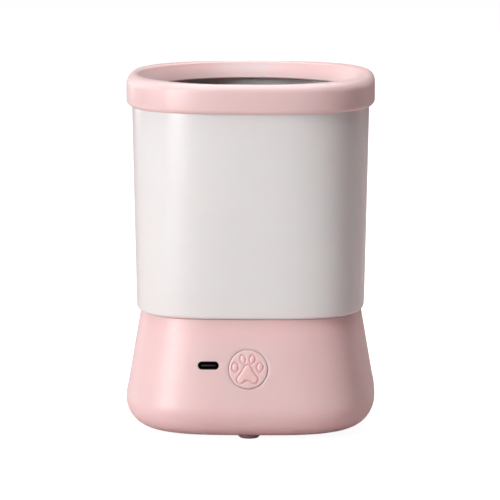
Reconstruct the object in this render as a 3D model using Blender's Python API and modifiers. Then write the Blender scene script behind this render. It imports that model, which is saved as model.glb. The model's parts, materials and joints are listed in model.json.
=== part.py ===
"""Rechargeable paw washer cup: a rounded-square cup with a turning bristle drum, on a flared motor base.

Metres, +Z up. The origin is on the table, under the middle of the base; -Y is the front, with the
charging port and the round power button.
"""

import math

import bmesh
import bpy
from mathutils import Matrix, Vector

# ---------------------------------------------------------------- driving dimensions, in metres

GAP = 0.0003                # between pieces that touch
FOOT_STAND = 0.0020         # the rubber feet hold the base this far off the table
WALL = 0.0024               # moulded wall

BASE_TOP = 0.0539           # rim that the cup stands on
BASE_TOP_HALF = 0.04846     # half width of the base at that rim
BASE_WIDE_Z = 0.0142        # height of the widest part of the flare
BASE_WIDE_HALF = 0.05535
BASE_FLAT_HALF = 0.0424     # half width of the flat underside, inside the big bottom rounding
BASE_EXPONENT = 3.6         # of the rounded square; 2 is a circle
DECK_TOP = 0.0474           # sunk floor that the cup's spigot stands on
DECK_UNDER = 0.0449
SEAT_HALF = 0.0445          # half width of the sunk seat
COVER_HALF = 0.0437

CUP_BOTTOM = 0.0543
CUP_TOP = 0.1526
CUP_BOTTOM_HALF = 0.0504
CUP_TOP_HALF = 0.0525
CUP_WALL = 0.0022
SPIGOT_HALF = 0.0441
SPIGOT_BOTTOM = 0.0482
CUP_FLOOR_UNDER = 0.0530
CUP_FLOOR_TOP = 0.0560
HUMP_RADIUS = 0.0140        # hollow under the cup that takes the coupling
HUMP_UNDER = 0.0564
HUMP_TOP = 0.0590
NECK_TOP = 0.0660           # top of the tube that keeps water off the bearing

RING_TOP = 0.1565
RING_BOTTOM = 0.1438
RING_HALF = 0.05475
RING_EXPONENT = 3.0
LIP_HALF = 0.0460           # opening that the paw goes through
LIP_BOTTOM = 0.1490
LIP_EXPONENT = 2.0          # the funnel is round inside the rounded-square ring

DRUM_FLOOR_UNDER = 0.0709
DRUM_FLOOR_TOP = 0.0734
DRUM_TOP = 0.1448
DRUM_RADIUS = 0.0426
DRUM_BORE = 0.0410
SLEEVE_WALL = 0.0017
SLEEVE_TOP = 0.1467
SLEEVE_RIM_RADIUS = 0.0446
BRISTLE_COLUMNS = 14
BRISTLE_ROWS = 7
BRISTLE_ROOT = 0.0030
BRISTLE_TIP_SHARE = 0.45    # width at the tip over width at the root
BRISTLE_LENGTH = 0.0110

BUTTON_Z = 0.0327           # height of the button's centre
BUTTON_RADIUS = 0.0085
PORT_OFFSET = (-0.0173, 0.0016)    # port centre from button centre, across and up the wall
PORT_SIZE = (0.0092, 0.0036)
BOARD_FRONT = 0.0090        # depth of the circuit board behind the wall's outer face
BOARD_THICK = 0.0016

SHAFT_RADIUS = 0.0030
SHAFT_BORE = SHAFT_RADIUS + GAP
DOG_BOTTOM = 0.0486
DOG_TOP = 0.0542

MODULE = 0.0008
PINION_TEETH = 12
WHEEL_TEETH = 36
CENTRE_DISTANCE = MODULE * (PINION_TEETH + WHEEL_TEETH) / 2
IDLER_BEARING = math.radians(27)        # direction from the drive shaft to the idler
MOTOR_BEARING = math.radians(240)       # direction from the idler to the motor

TRAY_UNDER = 0.0285
TRAY_THICK = 0.0025
MOTOR_RADIUS = 0.0120
MOTOR_TOP = 0.0279

CELL_RADIUS = 0.0091
CELL_LENGTH = 0.0500
CELL_Y = 0.0245
CELL_Z = 0.0152

COVER_SCREWS = [(sx * 0.031, sy * 0.028) for sx in (-1, 1) for sy in (-1, 1)]
TRAY_SCREWS = [(-0.022, -0.016), (-0.022, 0.018), (0.036, -0.014), (0.036, 0.020)]
BOARD_SCREWS = [(-0.0225, -0.0080), (0.0120, -0.0080)]
MOTOR_SCREW_RADIUS = 0.0080
FEET = {"front": (0, -0.0385), "back": (0, 0.0385), "left": (-0.0385, 0), "right": (0.0385, 0)}

SPOKES = 32                 # points round each rounded-square section
FINE = 24                   # points round a middling turned part
COARSE = 16                 # points round a small turned part

COVER_TOP = FOOT_STAND + WALL
FLARE = (BASE_WIDE_HALF - BASE_TOP_HALF) / (BASE_TOP - BASE_WIDE_Z)
WALL_TILT = math.atan(FLARE)
IDLER = Vector((math.cos(IDLER_BEARING), math.sin(IDLER_BEARING))) * CENTRE_DISTANCE
MOTOR = IDLER + Vector((math.cos(MOTOR_BEARING), math.sin(MOTOR_BEARING))) * CENTRE_DISTANCE


def base_half(z):
    """Half width of the base's outer face at height z, on the flare."""
    return BASE_TOP_HALF + (BASE_TOP - z) * FLARE


def cup_half(z):
    """Half width of the cup's outer face at height z."""
    share = (z - CUP_BOTTOM) / (CUP_TOP - CUP_BOTTOM)
    return CUP_BOTTOM_HALF + (CUP_TOP_HALF - CUP_BOTTOM_HALF) * share


def cup_exponent(z):
    """The cup is squarer at the bottom, where it meets the base, than at the top."""
    share = min(1, max(0, (z - CUP_BOTTOM) / (CUP_TOP - CUP_BOTTOM)))
    return BASE_EXPONENT + (RING_EXPONENT - BASE_EXPONENT) * share


# ---------------------------------------------------------------- scene, materials, helpers

for stale in list(bpy.data.objects):
    bpy.data.objects.remove(stale)

PARTS = bpy.data.collections.new("paw_washer_cup")
CUTTERS = bpy.data.collections.new("cutters")
for group in (PARTS, CUTTERS):
    bpy.context.scene.collection.children.link(group)


def material(name, colour, roughness, metallic=0.0):
    made = bpy.data.materials.new(name)
    made.use_nodes = True
    shader = made.node_tree.nodes["Principled BSDF"]
    shader.inputs["Base Color"].default_value = (*colour, 1)
    shader.inputs["Roughness"].default_value = roughness
    shader.inputs["Metallic"].default_value = metallic
    made.diffuse_color = (*colour, 1)
    return made


PINK = material("pink_plastic", (0.85, 0.57, 0.56), 0.38)
WHITE = material("white_plastic", (0.82, 0.79, 0.78), 0.30)
SLATE = material("slate_silicone", (0.045, 0.048, 0.056), 0.45)
CHARCOAL = material("charcoal_plastic", (0.030, 0.031, 0.034), 0.40)
RUBBER = material("seal_rubber", (0.030, 0.030, 0.030), 0.60)
FOOT_RUBBER = material("foot_rubber", (0.42, 0.24, 0.24), 0.45)
NYLON = material("gear_nylon", (0.80, 0.78, 0.70), 0.42)
STEEL = material("steel", (0.60, 0.60, 0.62), 0.28, 1.0)
BRASS = material("brass", (0.70, 0.50, 0.20), 0.30, 1.0)
BOARD = material("circuit_board", (0.015, 0.12, 0.055), 0.42)
CELL_WRAP = material("cell_wrap", (0.03, 0.13, 0.36), 0.35)
RED_WIRE = material("red_wire", (0.55, 0.03, 0.03), 0.42)
BLACK_WIRE = material("black_wire", (0.02, 0.02, 0.02), 0.42)


def empty(name, location=(0, 0, 0), rotation=(0, 0, 0), parent=None):
    marker = bpy.data.objects.new(name, None)
    marker.location = location
    marker.rotation_euler = rotation
    marker.parent = parent
    PARTS.objects.link(marker)
    return marker


def add_object(name, data, look=None, location=(0, 0, 0), parent=None):
    """A part when it has a material, a hidden cutter when it has none."""
    made = bpy.data.objects.new(name, data)
    made.location = location
    made.parent = parent
    if not look:
        return hide_cutter(made)
    data.materials.append(look)
    PARTS.objects.link(made)
    return made


def mesh_from(bm, name):
    bmesh.ops.recalc_face_normals(bm, faces=bm.faces)
    mesh = bpy.data.meshes.new(name)
    bm.to_mesh(mesh)
    bm.free()
    mesh.shade_smooth()
    mesh.set_sharp_from_angle(angle=math.radians(32))
    return mesh


def hide_cutter(made):
    made.data.materials.clear()
    for group in made.users_collection:
        group.objects.unlink(made)
    CUTTERS.objects.link(made)
    made.hide_render = True
    made.display_type = "WIRE"
    return made


def boolean(target, tool, operation):
    modifier = target.modifiers.new(f"{operation.lower()} {tool.name}", "BOOLEAN")
    modifier.operation = operation
    modifier.object = tool


def cut(target, *tools):
    for tool in tools:
        boolean(target, tool, "DIFFERENCE")


def join(target, *tools):
    for tool in tools:
        boolean(target, tool, "UNION")


def arc(centre, radii, start, end, steps):
    """Points of an elliptical arc in the (half width, height) plane; angles in degrees from outwards."""
    points = []
    for step in range(steps + 1):
        angle = math.radians(start + (end - start) * step / steps)
        points.append((centre[0] + radii[0] * math.cos(angle), centre[1] + radii[1] * math.sin(angle)))
    return points


def superellipse(half, exponent, angle):
    """Point of |x|^n + |y|^n = half^n."""
    shares = (math.cos(angle), math.sin(angle))
    return [math.copysign(abs(share) ** (2 / exponent), share) * half for share in shares]


def first_ring(bm, count):
    ring = bmesh.ops.create_circle(bm, segments=count, radius=1)["verts"]
    return ring, bm.edges[:]


def next_ring(bm, ring, edges):
    """Extrudes a loop, and gives the new loop's vertices in the old one's order, and its edges."""
    made = bmesh.ops.extrude_edge_only(bm, edges=edges)["geom"]
    edges = [item for item in made if isinstance(item, bmesh.types.BMEdge)]
    fresh = {item for item in made if isinstance(item, bmesh.types.BMVert)}
    above = []
    for vert in ring:
        partners = [edge.other_vert(vert) for edge in vert.link_edges]
        above.append(next(partner for partner in partners if partner in fresh))
    return above, edges


def loft(name, sections, look, parent=None, closed=True):
    """Rounded-square rings (half width, height, exponent), each extruded from the one before.

    A closed loft joins its last ring to its first, as a wall does; an open one has its ends filled.
    """
    bm = bmesh.new()
    ring, edges = first_ring(bm, SPOKES)
    outermost = edges
    for place, (half, z, exponent) in enumerate(sections):
        if place:
            ring, edges = next_ring(bm, ring, edges)
        for spoke, vert in enumerate(ring):
            vert.co = (*superellipse(half, exponent, 2 * math.pi * spoke / SPOKES), z)
    if closed:
        bmesh.ops.bridge_loops(bm, edges=outermost + edges)
    else:
        bmesh.ops.holes_fill(bm, edges=outermost + edges, sides=0)
    return add_object(name, mesh_from(bm, name), look, parent=parent)


def with_exponent(points, exponent):
    return [(half, z, exponent) for half, z in points]


def turned(name, profile, look, location=(0, 0, 0), parent=None, steps=COARSE, ring=False):
    """Turns (radius, height) points about Z. A ring's profile closes on itself, clear of the axis."""
    mesh = bpy.data.meshes.new(name)
    count = len(profile)
    edges = [(place, place + 1) for place in range(count - 1)]
    if ring:
        edges.append((count - 1, 0))
    mesh.from_pydata([(radius, 0, z) for radius, z in profile], edges, [])
    made = add_object(name, mesh, look, location, parent)
    screw = made.modifiers.new("turn", "SCREW")
    screw.steps = screw.render_steps = steps
    screw.use_merge_vertices = True
    screw.merge_threshold = 0.00001
    screw.use_smooth_shade = True
    return made


def bush(name, inner, outer, bottom, top, look, location=(0, 0, 0), parent=None, steps=COARSE):
    profile = [(inner, top), (outer, top), (outer, bottom), (inner, bottom)]
    return turned(name, profile, look, location, parent, steps, ring=True)


def cylinder(name, radius, bottom, top, place=(0, 0), steps=COARSE, parent=None, look=None):
    """An upright cylinder; with a parent whose Z lies along a hole, one along that hole."""
    bm = bmesh.new()
    bmesh.ops.create_cone(bm, cap_ends=True, segments=steps, radius1=radius, radius2=radius,
                          depth=top - bottom)
    bmesh.ops.translate(bm, verts=bm.verts, vec=(*place, (top + bottom) / 2))
    return add_object(name, mesh_from(bm, name), look, parent=parent)


def drills(name, holes, parent=None, steps=8):
    """One cutter of upright cylinders, each given as (radius, bottom, top, (x, y))."""
    bm = bmesh.new()
    for radius, bottom, top, place in holes:
        made = bmesh.ops.create_cone(bm, cap_ends=True, segments=steps, radius1=radius, radius2=radius,
                                     depth=top - bottom)["verts"]
        bmesh.ops.translate(bm, verts=made, vec=(*place, (top + bottom) / 2))
    return add_object(name, mesh_from(bm, name), parent=parent)


def slots_round(name, count, size, middle):
    """One cutter of boxes spaced evenly about Z; middle is the first one's centre before it turns."""
    bm = bmesh.new()
    for place in range(count):
        made = bmesh.ops.create_cube(bm, size=1)["verts"]
        bmesh.ops.scale(bm, verts=made, vec=size)
        bmesh.ops.translate(bm, verts=made, vec=middle)
        turn = Matrix.Rotation(2 * math.pi * place / count, 3, "Z")
        bmesh.ops.rotate(bm, verts=made, matrix=turn)
    return add_object(name, mesh_from(bm, name))


def box(name, low, high, look=None, parent=None):
    bm = bmesh.new()
    bmesh.ops.create_cube(bm, size=1)
    low, high = Vector(low), Vector(high)
    bmesh.ops.scale(bm, verts=bm.verts, vec=high - low)
    bmesh.ops.translate(bm, verts=bm.verts, vec=(low + high) / 2)
    return add_object(name, mesh_from(bm, name), look, parent=parent)


def circle(radius, steps=COARSE, centre=(0, 0), turn=0.0):
    return [(centre[0] + radius * math.cos(2 * math.pi * place / steps + turn),
             centre[1] + radius * math.sin(2 * math.pi * place / steps + turn)) for place in range(steps)]


def plate(name, outlines, bottom, top, look, location=(0, 0), parent=None):
    """A flat outline with any holes inside it, extruded along Z."""
    curve = bpy.data.curves.new(name, "CURVE")
    curve.dimensions = "2D"
    curve.fill_mode = "BOTH"
    curve.extrude = (top - bottom) / 2
    for outline in outlines:
        spline = curve.splines.new("POLY")
        spline.points.add(len(outline) - 1)
        for point, (x, y) in zip(spline.points, outline):
            point.co = (x, y, 0, 1)
        spline.use_cyclic_u = True
    return add_object(name, curve, look, (*location, (top + bottom) / 2), parent)


def as_mesh(made):
    """The same object as a welded mesh, which a Boolean can read."""
    bpy.context.view_layer.update()
    graph = bpy.context.evaluated_depsgraph_get()
    bm = bmesh.new()
    mesh = bpy.data.meshes.new_from_object(made.evaluated_get(graph))
    bm.from_mesh(mesh)
    bmesh.ops.remove_doubles(bm, verts=bm.verts, dist=0.00001)
    name, look, matrix = made.name, (mesh.materials or [None])[0], made.matrix_world.copy()
    bpy.data.objects.remove(made)
    fresh = mesh_from(bm, name)
    fresh.transform(matrix)
    return add_object(name, fresh, look)


def rounded_rectangle(low, high, radius, steps=4):
    points = []
    corners = [(high[0] - radius, high[1] - radius, 0), (low[0] + radius, high[1] - radius, 90),
               (low[0] + radius, low[1] + radius, 180), (high[0] - radius, low[1] + radius, 270)]
    for x, y, start in corners:
        points += arc((x, y), (radius, radius), start, start + 90, steps)
    return points


# ---------------------------------------------------------------- splash ring and cup

BASE = empty("base_frame")
CUP = empty("cup_frame")
RING = empty("ring_frame", parent=CUP)


def splash_ring():
    """Pink ring that caps the cup: a rounded rim, a skirt outside and a funnel inside."""
    crest = 0.0032
    foot = 0.0022
    channel_top = CUP_TOP + 0.0016      # leaves room for the gasket on the cup's rim
    waist = 0.1530
    outside = arc((RING_HALF - crest, RING_TOP - crest), (crest, crest), 90, 0, 4)
    outside += arc((RING_HALF - foot, RING_BOTTOM + foot), (foot, foot), 0, -78, 3)
    sections = with_exponent(outside, RING_EXPONENT)
    channel_out = cup_half(RING_BOTTOM) + 0.0004
    sections += with_exponent([(channel_out, RING_BOTTOM), (CUP_TOP_HALF + 0.0004, channel_top),
                               (CUP_TOP_HALF - CUP_WALL - 0.0004, channel_top),
                               (CUP_TOP_HALF - CUP_WALL - 0.0010, LIP_BOTTOM + 0.0007)], RING_EXPONENT)
    funnel = [(LIP_HALF + 0.0010, LIP_BOTTOM), (LIP_HALF, LIP_BOTTOM + 0.0008), (LIP_HALF + 0.0022, waist),
              (RING_HALF - 0.0042, RING_TOP - 0.0008)]
    sections += with_exponent(funnel, LIP_EXPONENT)
    loft("splash_ring", sections, PINK, RING)


def ring_gasket():
    """Flat seal on the cup's rim, at the top of the ring's channel."""
    inner, outer = CUP_TOP_HALF - CUP_WALL + 0.0002, CUP_TOP_HALF - 0.0002
    low, high = CUP_TOP + GAP, CUP_TOP + GAP + 0.0009
    rim = [(inner, high), (outer, high), (outer, low), (inner, low)]
    loft("ring_gasket", with_exponent(rim, RING_EXPONENT), RUBBER, RING)


def cup_shell():
    """White tapered cup. Its floor rises over the coupling and ends in a tube round the spindle."""
    foot = 0.0018
    inner_foot = 0.0030
    middle = 0.1030
    floor_half = cup_half(CUP_FLOOR_TOP) - CUP_WALL
    sections = []
    for half, z in [(CUP_TOP_HALF - CUP_WALL, CUP_TOP), (CUP_TOP_HALF, CUP_TOP), (cup_half(middle), middle)]:
        sections.append((half, z, cup_exponent(z)))
    rounding = arc((CUP_BOTTOM_HALF - foot, CUP_BOTTOM + foot), (foot, foot), 0, -90, 3)
    draft = 0.0002
    spigot_inner = SPIGOT_HALF - 0.0020
    spigot = [(SPIGOT_HALF, CUP_BOTTOM), (SPIGOT_HALF - draft, SPIGOT_BOTTOM), (spigot_inner, SPIGOT_BOTTOM),
              (spigot_inner - draft, CUP_FLOOR_UNDER)]
    sections += with_exponent(rounding + spigot, BASE_EXPONENT)
    neck_bore, neck_outer, hump_outer = 0.0053, 0.0083, HUMP_RADIUS + 0.0024
    hollow = [(HUMP_RADIUS, CUP_FLOOR_UNDER), (HUMP_RADIUS, HUMP_UNDER), (neck_bore, HUMP_UNDER)]
    neck = [(neck_bore, NECK_TOP), (neck_outer, NECK_TOP), (neck_outer, HUMP_TOP), (hump_outer, HUMP_TOP),
            (hump_outer + draft, CUP_FLOOR_TOP)]
    sections += with_exponent(hollow + neck, 2)
    inner_rounding = arc((floor_half - inner_foot, CUP_FLOOR_TOP + inner_foot), (inner_foot, inner_foot),
                         -90, 0, 2)
    sections += with_exponent(inner_rounding, BASE_EXPONENT)
    sections.append((cup_half(middle) - CUP_WALL, middle, cup_exponent(middle)))
    loft("cup_shell", sections, WHITE, CUP)


def cup_bearing():
    """Flanged bush in the cup's tube, with a lip seal above it."""
    bore, outer, flange = SHAFT_BORE, 0.0050, 0.0078
    low, under, top = HUMP_UNDER + GAP, NECK_TOP + GAP, NECK_TOP + GAP + 0.0010
    profile = [(bore, top), (flange, top), (flange, under), (outer, under), (outer, low), (bore, low)]
    turned("cup_bush", profile, BRASS, parent=CUP, ring=True)
    seal = top + GAP
    skirt, nose, lip = 0.0072, 0.0048, seal + 0.0024
    profile = [(bore, lip), (nose, lip), (skirt, seal + 0.0010), (skirt, seal), (bore, seal)]
    turned("spindle_seal", profile, RUBBER, parent=CUP, ring=True)


# ---------------------------------------------------------------- brush spindle and drum

SPINDLE = empty("spindle_frame", parent=CUP)
BRUSH = empty("brush_frame", parent=SPINDLE)
HEX_BOTTOM = 0.0706         # shoulder of the spindle, under its hexagonal end
HEX_TOP = 0.0782
HEX_RADIUS = 0.0046
STAR_RADIUS = 0.0062        # of the coupling, at half the height of its lobes


def star(radius, gap=0.0):
    """Outline of the six-lobed coupling."""
    lobes, depth = 6, 0.0011
    steps = 36
    points = []
    for place in range(steps):
        angle = 2 * math.pi * place / steps
        reach = radius + gap + depth * math.cos(lobes * angle)
        points.append((reach * math.cos(angle), reach * math.sin(angle)))
    return points


def spindle():
    """Flanged spindle, hexagonal at the top where the drum's hub drops over it."""
    flange, flange_radius, flange_top = 0.0551, 0.0110, 0.0561
    profile = [(0, HEX_BOTTOM), (SHAFT_RADIUS, HEX_BOTTOM), (SHAFT_RADIUS, flange_top),
               (flange_radius, flange_top), (flange_radius, flange), (0, flange)]
    body = turned("brush_spindle", profile, STEEL, parent=SPINDLE)
    drive_end = cylinder("spindle_hexagon", HEX_RADIUS, HEX_BOTTOM - 0.0005, HEX_TOP, steps=6)
    join(body, drive_end)
    ring = [circle(0.0115, FINE), star(STAR_RADIUS, 0.0004)]
    plate("driven_dog", ring, DOG_BOTTOM + 0.0006, flange - GAP, CHARCOAL, parent=SPINDLE)


def drum():
    """Turning drum: a hub with a hexagonal socket, a floor with drain slots and a plain wall."""
    hub, hub_top = 0.0072, 0.0805
    profile = [(0, hub_top), (hub, hub_top), (hub, DRUM_FLOOR_TOP), (DRUM_BORE, DRUM_FLOOR_TOP),
               (DRUM_BORE, DRUM_TOP), (DRUM_RADIUS, DRUM_TOP), (DRUM_RADIUS, DRUM_FLOOR_UNDER),
               (0, DRUM_FLOOR_UNDER)]
    body = turned("brush_drum", profile, CHARCOAL, parent=BRUSH, steps=SPOKES)
    socket = cylinder("hub_socket", HEX_RADIUS + 0.0004, DRUM_FLOOR_UNDER - 0.0010, HEX_TOP + 0.0005,
                      steps=6)
    drains = slots_round("drain_slots", 6, (0.0090, 0.0046, 0.0080), (0.0325, 0, DRUM_FLOOR_TOP))
    cut(body, socket, drains)


def bristle_sleeve():
    """Soft sleeve inside the drum. Narrow faces of its inner wall are drawn inwards as tapered bristles."""
    outer = DRUM_BORE - GAP
    inner = outer - SLEEVE_WALL
    low, high = DRUM_FLOOR_TOP + 0.0005, DRUM_TOP - 0.0030
    pitch = (high - low) / BRISTLE_ROWS
    rows = []
    for row in range(BRISTLE_ROWS):
        middle = low + pitch * (row + 0.5)
        rows += [middle - BRISTLE_ROOT / 2, middle + BRISTLE_ROOT / 2]
    rim_under = DRUM_TOP + GAP
    chamfer = 0.0008
    profile = [(outer, low), (inner, low)] + [(inner, z) for z in rows]
    profile += [(inner, SLEEVE_TOP - chamfer), (inner + chamfer, SLEEVE_TOP),
                (SLEEVE_RIM_RADIUS - chamfer, SLEEVE_TOP), (SLEEVE_RIM_RADIUS, SLEEVE_TOP - chamfer),
                (SLEEVE_RIM_RADIUS, rim_under), (outer, rim_under)]
    half_turn = math.asin(BRISTLE_ROOT / 2 / inner)
    angles = []
    for column in range(BRISTLE_COLUMNS):
        middle = 2 * math.pi * column / BRISTLE_COLUMNS
        angles += [middle - half_turn, middle + half_turn]
    bm = bmesh.new()
    ring, edges = first_ring(bm, len(angles))
    outermost = edges
    for place, (radius, z) in enumerate(profile):
        if place:
            ring, edges = next_ring(bm, ring, edges)
        for vert, angle in zip(ring, angles):
            vert.co = (radius * math.cos(angle), radius * math.sin(angle), z)
    bmesh.ops.bridge_loops(bm, edges=outermost + edges)
    bmesh.ops.recalc_face_normals(bm, faces=bm.faces)
    middles = [low + pitch * (row + 0.5) for row in range(BRISTLE_ROWS)]
    roots = []
    for face in bm.faces:
        centre = face.calc_center_median()
        narrow = all(abs(e.calc_length() - BRISTLE_ROOT) < 0.0002 for e in face.edges)
        on_row = min(abs(centre.z - middle) for middle in middles) < 0.0001
        if narrow and on_row and centre.xy.length < outer - 0.0008:
            roots.append(face)
    for face in bmesh.ops.extrude_discrete_faces(bm, faces=roots)["faces"]:
        centre = face.calc_center_median()
        inwards = Vector((-centre.x, -centre.y, 0)).normalized() * BRISTLE_LENGTH
        for vert in face.verts:
            vert.co = centre + (vert.co - centre) * BRISTLE_TIP_SHARE + inwards
    add_object("bristle_sleeve", mesh_from(bm, "bristle_sleeve"), SLATE, parent=BRUSH)


def floor_pad():
    """Soft domed pad over the drum's hub."""
    edge, low = 0.0240, DRUM_FLOOR_TOP + GAP
    bore, roof = 0.0075, 0.0808
    dome = arc((0.0, 0.0790), (0.0150, 0.0050), 90, 25, 4)
    profile = dome + [(edge - 0.0010, low + 0.0028), (edge, low + 0.0018), (edge, low), (bore, low),
                      (bore, roof), (0, roof)]
    turned("floor_pad", profile, SLATE, parent=BRUSH, steps=FINE)


# ---------------------------------------------------------------- base housing and cover

FRONT = empty("front_panel_frame", (0, -base_half(BUTTON_Z), BUTTON_Z), (-WALL_TILT, 0, 0), BASE)
PRESS = empty("button_frame", (0, 0, 0), (0, 0, 0), FRONT)
# The Z axis of this frame runs straight into the wall.
INTO_WALL = empty("into_wall_frame", (0, 0, 0), (-math.pi / 2, 0, 0), FRONT)


def port_outline(gap=0.0):
    """Stadium outline of the charging port, in the into-wall frame, where Y runs down the wall."""
    width, height = PORT_SIZE[0] + 2 * gap, PORT_SIZE[1] + 2 * gap
    x, y = PORT_OFFSET[0], -PORT_OFFSET[1]
    low, high = (x - width / 2, y - height / 2), (x + width / 2, y + height / 2)
    return rounded_rectangle(low, high, height / 2 - 0.00001, 6)


def base_housing():
    """Flared pink shell with a sunk deck for the cup, bosses for screws, a button hole and a port slot."""
    rim = 0.0007
    radius = (BASE_WIDE_HALF - BASE_FLAT_HALF, BASE_WIDE_Z - FOOT_STAND)
    outside = [(SEAT_HALF + rim, BASE_TOP), (BASE_TOP_HALF - rim, BASE_TOP),
               (BASE_TOP_HALF, BASE_TOP - rim)]
    outside += arc((BASE_FLAT_HALF, BASE_WIDE_Z), radius, 8, -82, 6)
    opening = COVER_HALF + GAP
    inside = [(opening, FOOT_STAND), (opening, COVER_TOP + 0.0010)]
    inside += arc((BASE_FLAT_HALF, BASE_WIDE_Z), (radius[0] - WALL, radius[1] - WALL), -70, 8, 3)
    inside += [(base_half(DECK_UNDER) - WALL, DECK_UNDER)]
    sections = with_exponent(outside + inside, BASE_EXPONENT)
    tube, tube_bore, tube_bottom = 0.0120, 0.0093, 0.0428
    sections += with_exponent([(tube, DECK_UNDER), (tube, tube_bottom), (tube_bore, tube_bottom),
                               (tube_bore, DECK_TOP)], 2)
    sections += with_exponent([(SEAT_HALF, DECK_TOP), (SEAT_HALF, BASE_TOP - rim)], BASE_EXPONENT)
    body = loft("base_housing", sections, PINK, BASE)
    root = DECK_UNDER + 0.0012
    for number, place in enumerate(COVER_SCREWS, 1):
        join(body, cylinder(f"cover_boss_{number}", 0.0035, COVER_TOP + GAP, root, place, 12))
    tray_top = TRAY_UNDER + TRAY_THICK
    for number, place in enumerate(TRAY_SCREWS, 1):
        join(body, cylinder(f"tray_pillar_{number}", 0.0030, tray_top + GAP, root, place, 12))
    join(body, cylinder("idler_boss", 0.0036, 0.0432, root, IDLER, 12))
    for number, (x, y) in enumerate(BOARD_SCREWS, 1):
        join(body, cylinder(f"board_boss_{number}", 0.0025, WALL - 0.0008, BOARD_FRONT - GAP, (x, -y), 12,
                            INTO_WALL))
    pilots = [(0.0015, 0.0030, 0.0140, place) for place in COVER_SCREWS]
    pilots += [(0.0013, 0.0300, 0.0390, place) for place in TRAY_SCREWS]
    pilots.append((0.0018, 0.0420, 0.0448, IDLER))
    wall_pilots = [(0.0012, 0.0040, 0.0120, (x, -y)) for x, y in BOARD_SCREWS]
    through = (-0.0040, 0.0060)
    button_hole = cylinder("button_hole", BUTTON_RADIUS + GAP, *through, steps=FINE, parent=INTO_WALL)
    port_slot = as_mesh(plate("port_slot", [port_outline()], *through, PINK, parent=INTO_WALL))
    cut(body, drills("pilot_holes", pilots), drills("board_pilots", wall_pilots, INTO_WALL), button_hole,
        hide_cutter(port_slot))


def base_cover():
    """Flat underside, with counterbored screw holes and holes that the feet push into."""
    edge = [(COVER_HALF, COVER_TOP), (COVER_HALF, FOOT_STAND)]
    body = loft("base_cover", with_exponent(edge, BASE_EXPONENT), PINK, BASE, closed=False)
    through = (0.0, 0.01)
    holes = [(0.0017, *through, place) for place in COVER_SCREWS]
    holes += [(0.0021, *through, place) for place in FEET.values()]
    heads = [(0.0031, 0.0, FOOT_STAND + 0.0014, place) for place in COVER_SCREWS]
    cut(body, drills("cover_holes", holes), drills("cover_counterbores", heads, steps=12))


def feet():
    """Push-in rubber feet: a tapered pad below the cover and a barbed stem above it."""
    under, barb = FOOT_STAND - GAP, COVER_TOP + GAP
    tip, stem, pad = barb + 0.0022, 0.0018, 0.0050
    profile = [(0, tip), (0.0011, tip), (0.0027, barb), (stem, barb), (stem, under), (pad, under),
               (pad - 0.0001, 0.0013), (pad - 0.0010, 0.0), (0, 0.0)]
    for side, (x, y) in FEET.items():
        turned(f"foot_{side}", profile, FOOT_RUBBER, (x, y, 0), BASE)


# ---------------------------------------------------------------- button, port and circuit board


def oval(centre, radii, tilt, steps=12):
    points = []
    for place in range(steps):
        angle = 2 * math.pi * place / steps
        x, y = radii[0] * math.cos(angle), radii[1] * math.sin(angle)
        points.append((centre[0] + x * math.cos(tilt) - y * math.sin(tilt),
                       centre[1] + x * math.sin(tilt) + y * math.cos(tilt)))
    return points


def paw_outlines():
    """Four toes and a heel pad, about the button's centre, in metres; Y is up the button."""
    toes = []
    for side in (-1, 1):
        toes.append(oval((side * 0.0021, 0.0042), (0.0014, 0.0020), math.radians(-6 * side)))
        toes.append(oval((side * 0.0053, 0.0009), (0.0014, 0.0020), math.radians(14 * side)))
    heel = []
    steps = 24
    for place in range(steps):
        angle = 2 * math.pi * place / steps
        swell = 1 + 0.16 * math.cos(3 * angle + math.pi / 2) - 0.10 * max(0, -math.sin(angle)) ** 6
        heel.append((0.0044 * swell * math.cos(angle), -0.0023 + 0.0038 * swell * math.sin(angle)))
    return toes, heel


def power_button():
    """Round button, flush with the wall, with a flange that keeps it in and a raised paw."""
    flange, flange_front, back = 0.0100, WALL + GAP, 0.0039
    chamfer = 0.0003
    profile = [(0, back), (flange, back), (flange, flange_front), (BUTTON_RADIUS, flange_front),
               (BUTTON_RADIUS, chamfer), (BUTTON_RADIUS - chamfer, 0.0), (0, 0.0)]
    body = turned("power_button", profile, PINK, parent=INTO_WALL, steps=FINE)
    toes, heel = paw_outlines()
    relief = 0.0003
    for number, outline in enumerate([*toes, heel], 1):
        downwards = [(x, -y) for x, y in outline]
        raised = plate(f"paw_relief_{number}", [downwards], -relief, 0.0010, PINK, parent=INTO_WALL)
        join(body, hide_cutter(as_mesh(raised)))


def tact_switch():
    """Switch on the board, and its plunger, which the button carries inwards."""
    face, half = 0.0052, 0.0030
    body = box("switch_body", (-half, -half, face), (half, half, BOARD_FRONT - GAP), CHARCOAL, INTO_WALL)
    cut(body, cylinder("switch_well", 0.0020, face - 0.001, 0.0080, steps=12, parent=INTO_WALL))
    plunger, tip, root = 0.0017, 0.0066, 0.0042
    profile = [(0, tip), (plunger, tip), (plunger, root), (0, root)]
    turned("switch_plunger", profile, NYLON, parent=INTO_WALL)


def usb_socket():
    """Charging receptacle: a thin stadium shell, closed at the back, with a tongue inside."""
    front, back = 0.0009, BOARD_FRONT - GAP
    skin = 0.0003
    shell = as_mesh(plate("usb_shell", [port_outline(-GAP)], front, back, STEEL, parent=INTO_WALL))
    shell.parent = BASE
    floor = back - 0.0010
    mouth = plate("usb_mouth", [port_outline(-GAP - skin)], front - 0.0010, floor, STEEL, parent=INTO_WALL)
    cut(shell, hide_cutter(as_mesh(mouth)))
    x, y = PORT_OFFSET[0], -PORT_OFFSET[1]
    half_width, half_height = 0.0032, 0.00035
    low, high = (x - half_width, y - half_height), (x + half_width, y + half_height)
    box("usb_tongue", (*low, front + 0.0010), (*high, floor - GAP), CHARCOAL, INTO_WALL)


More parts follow.
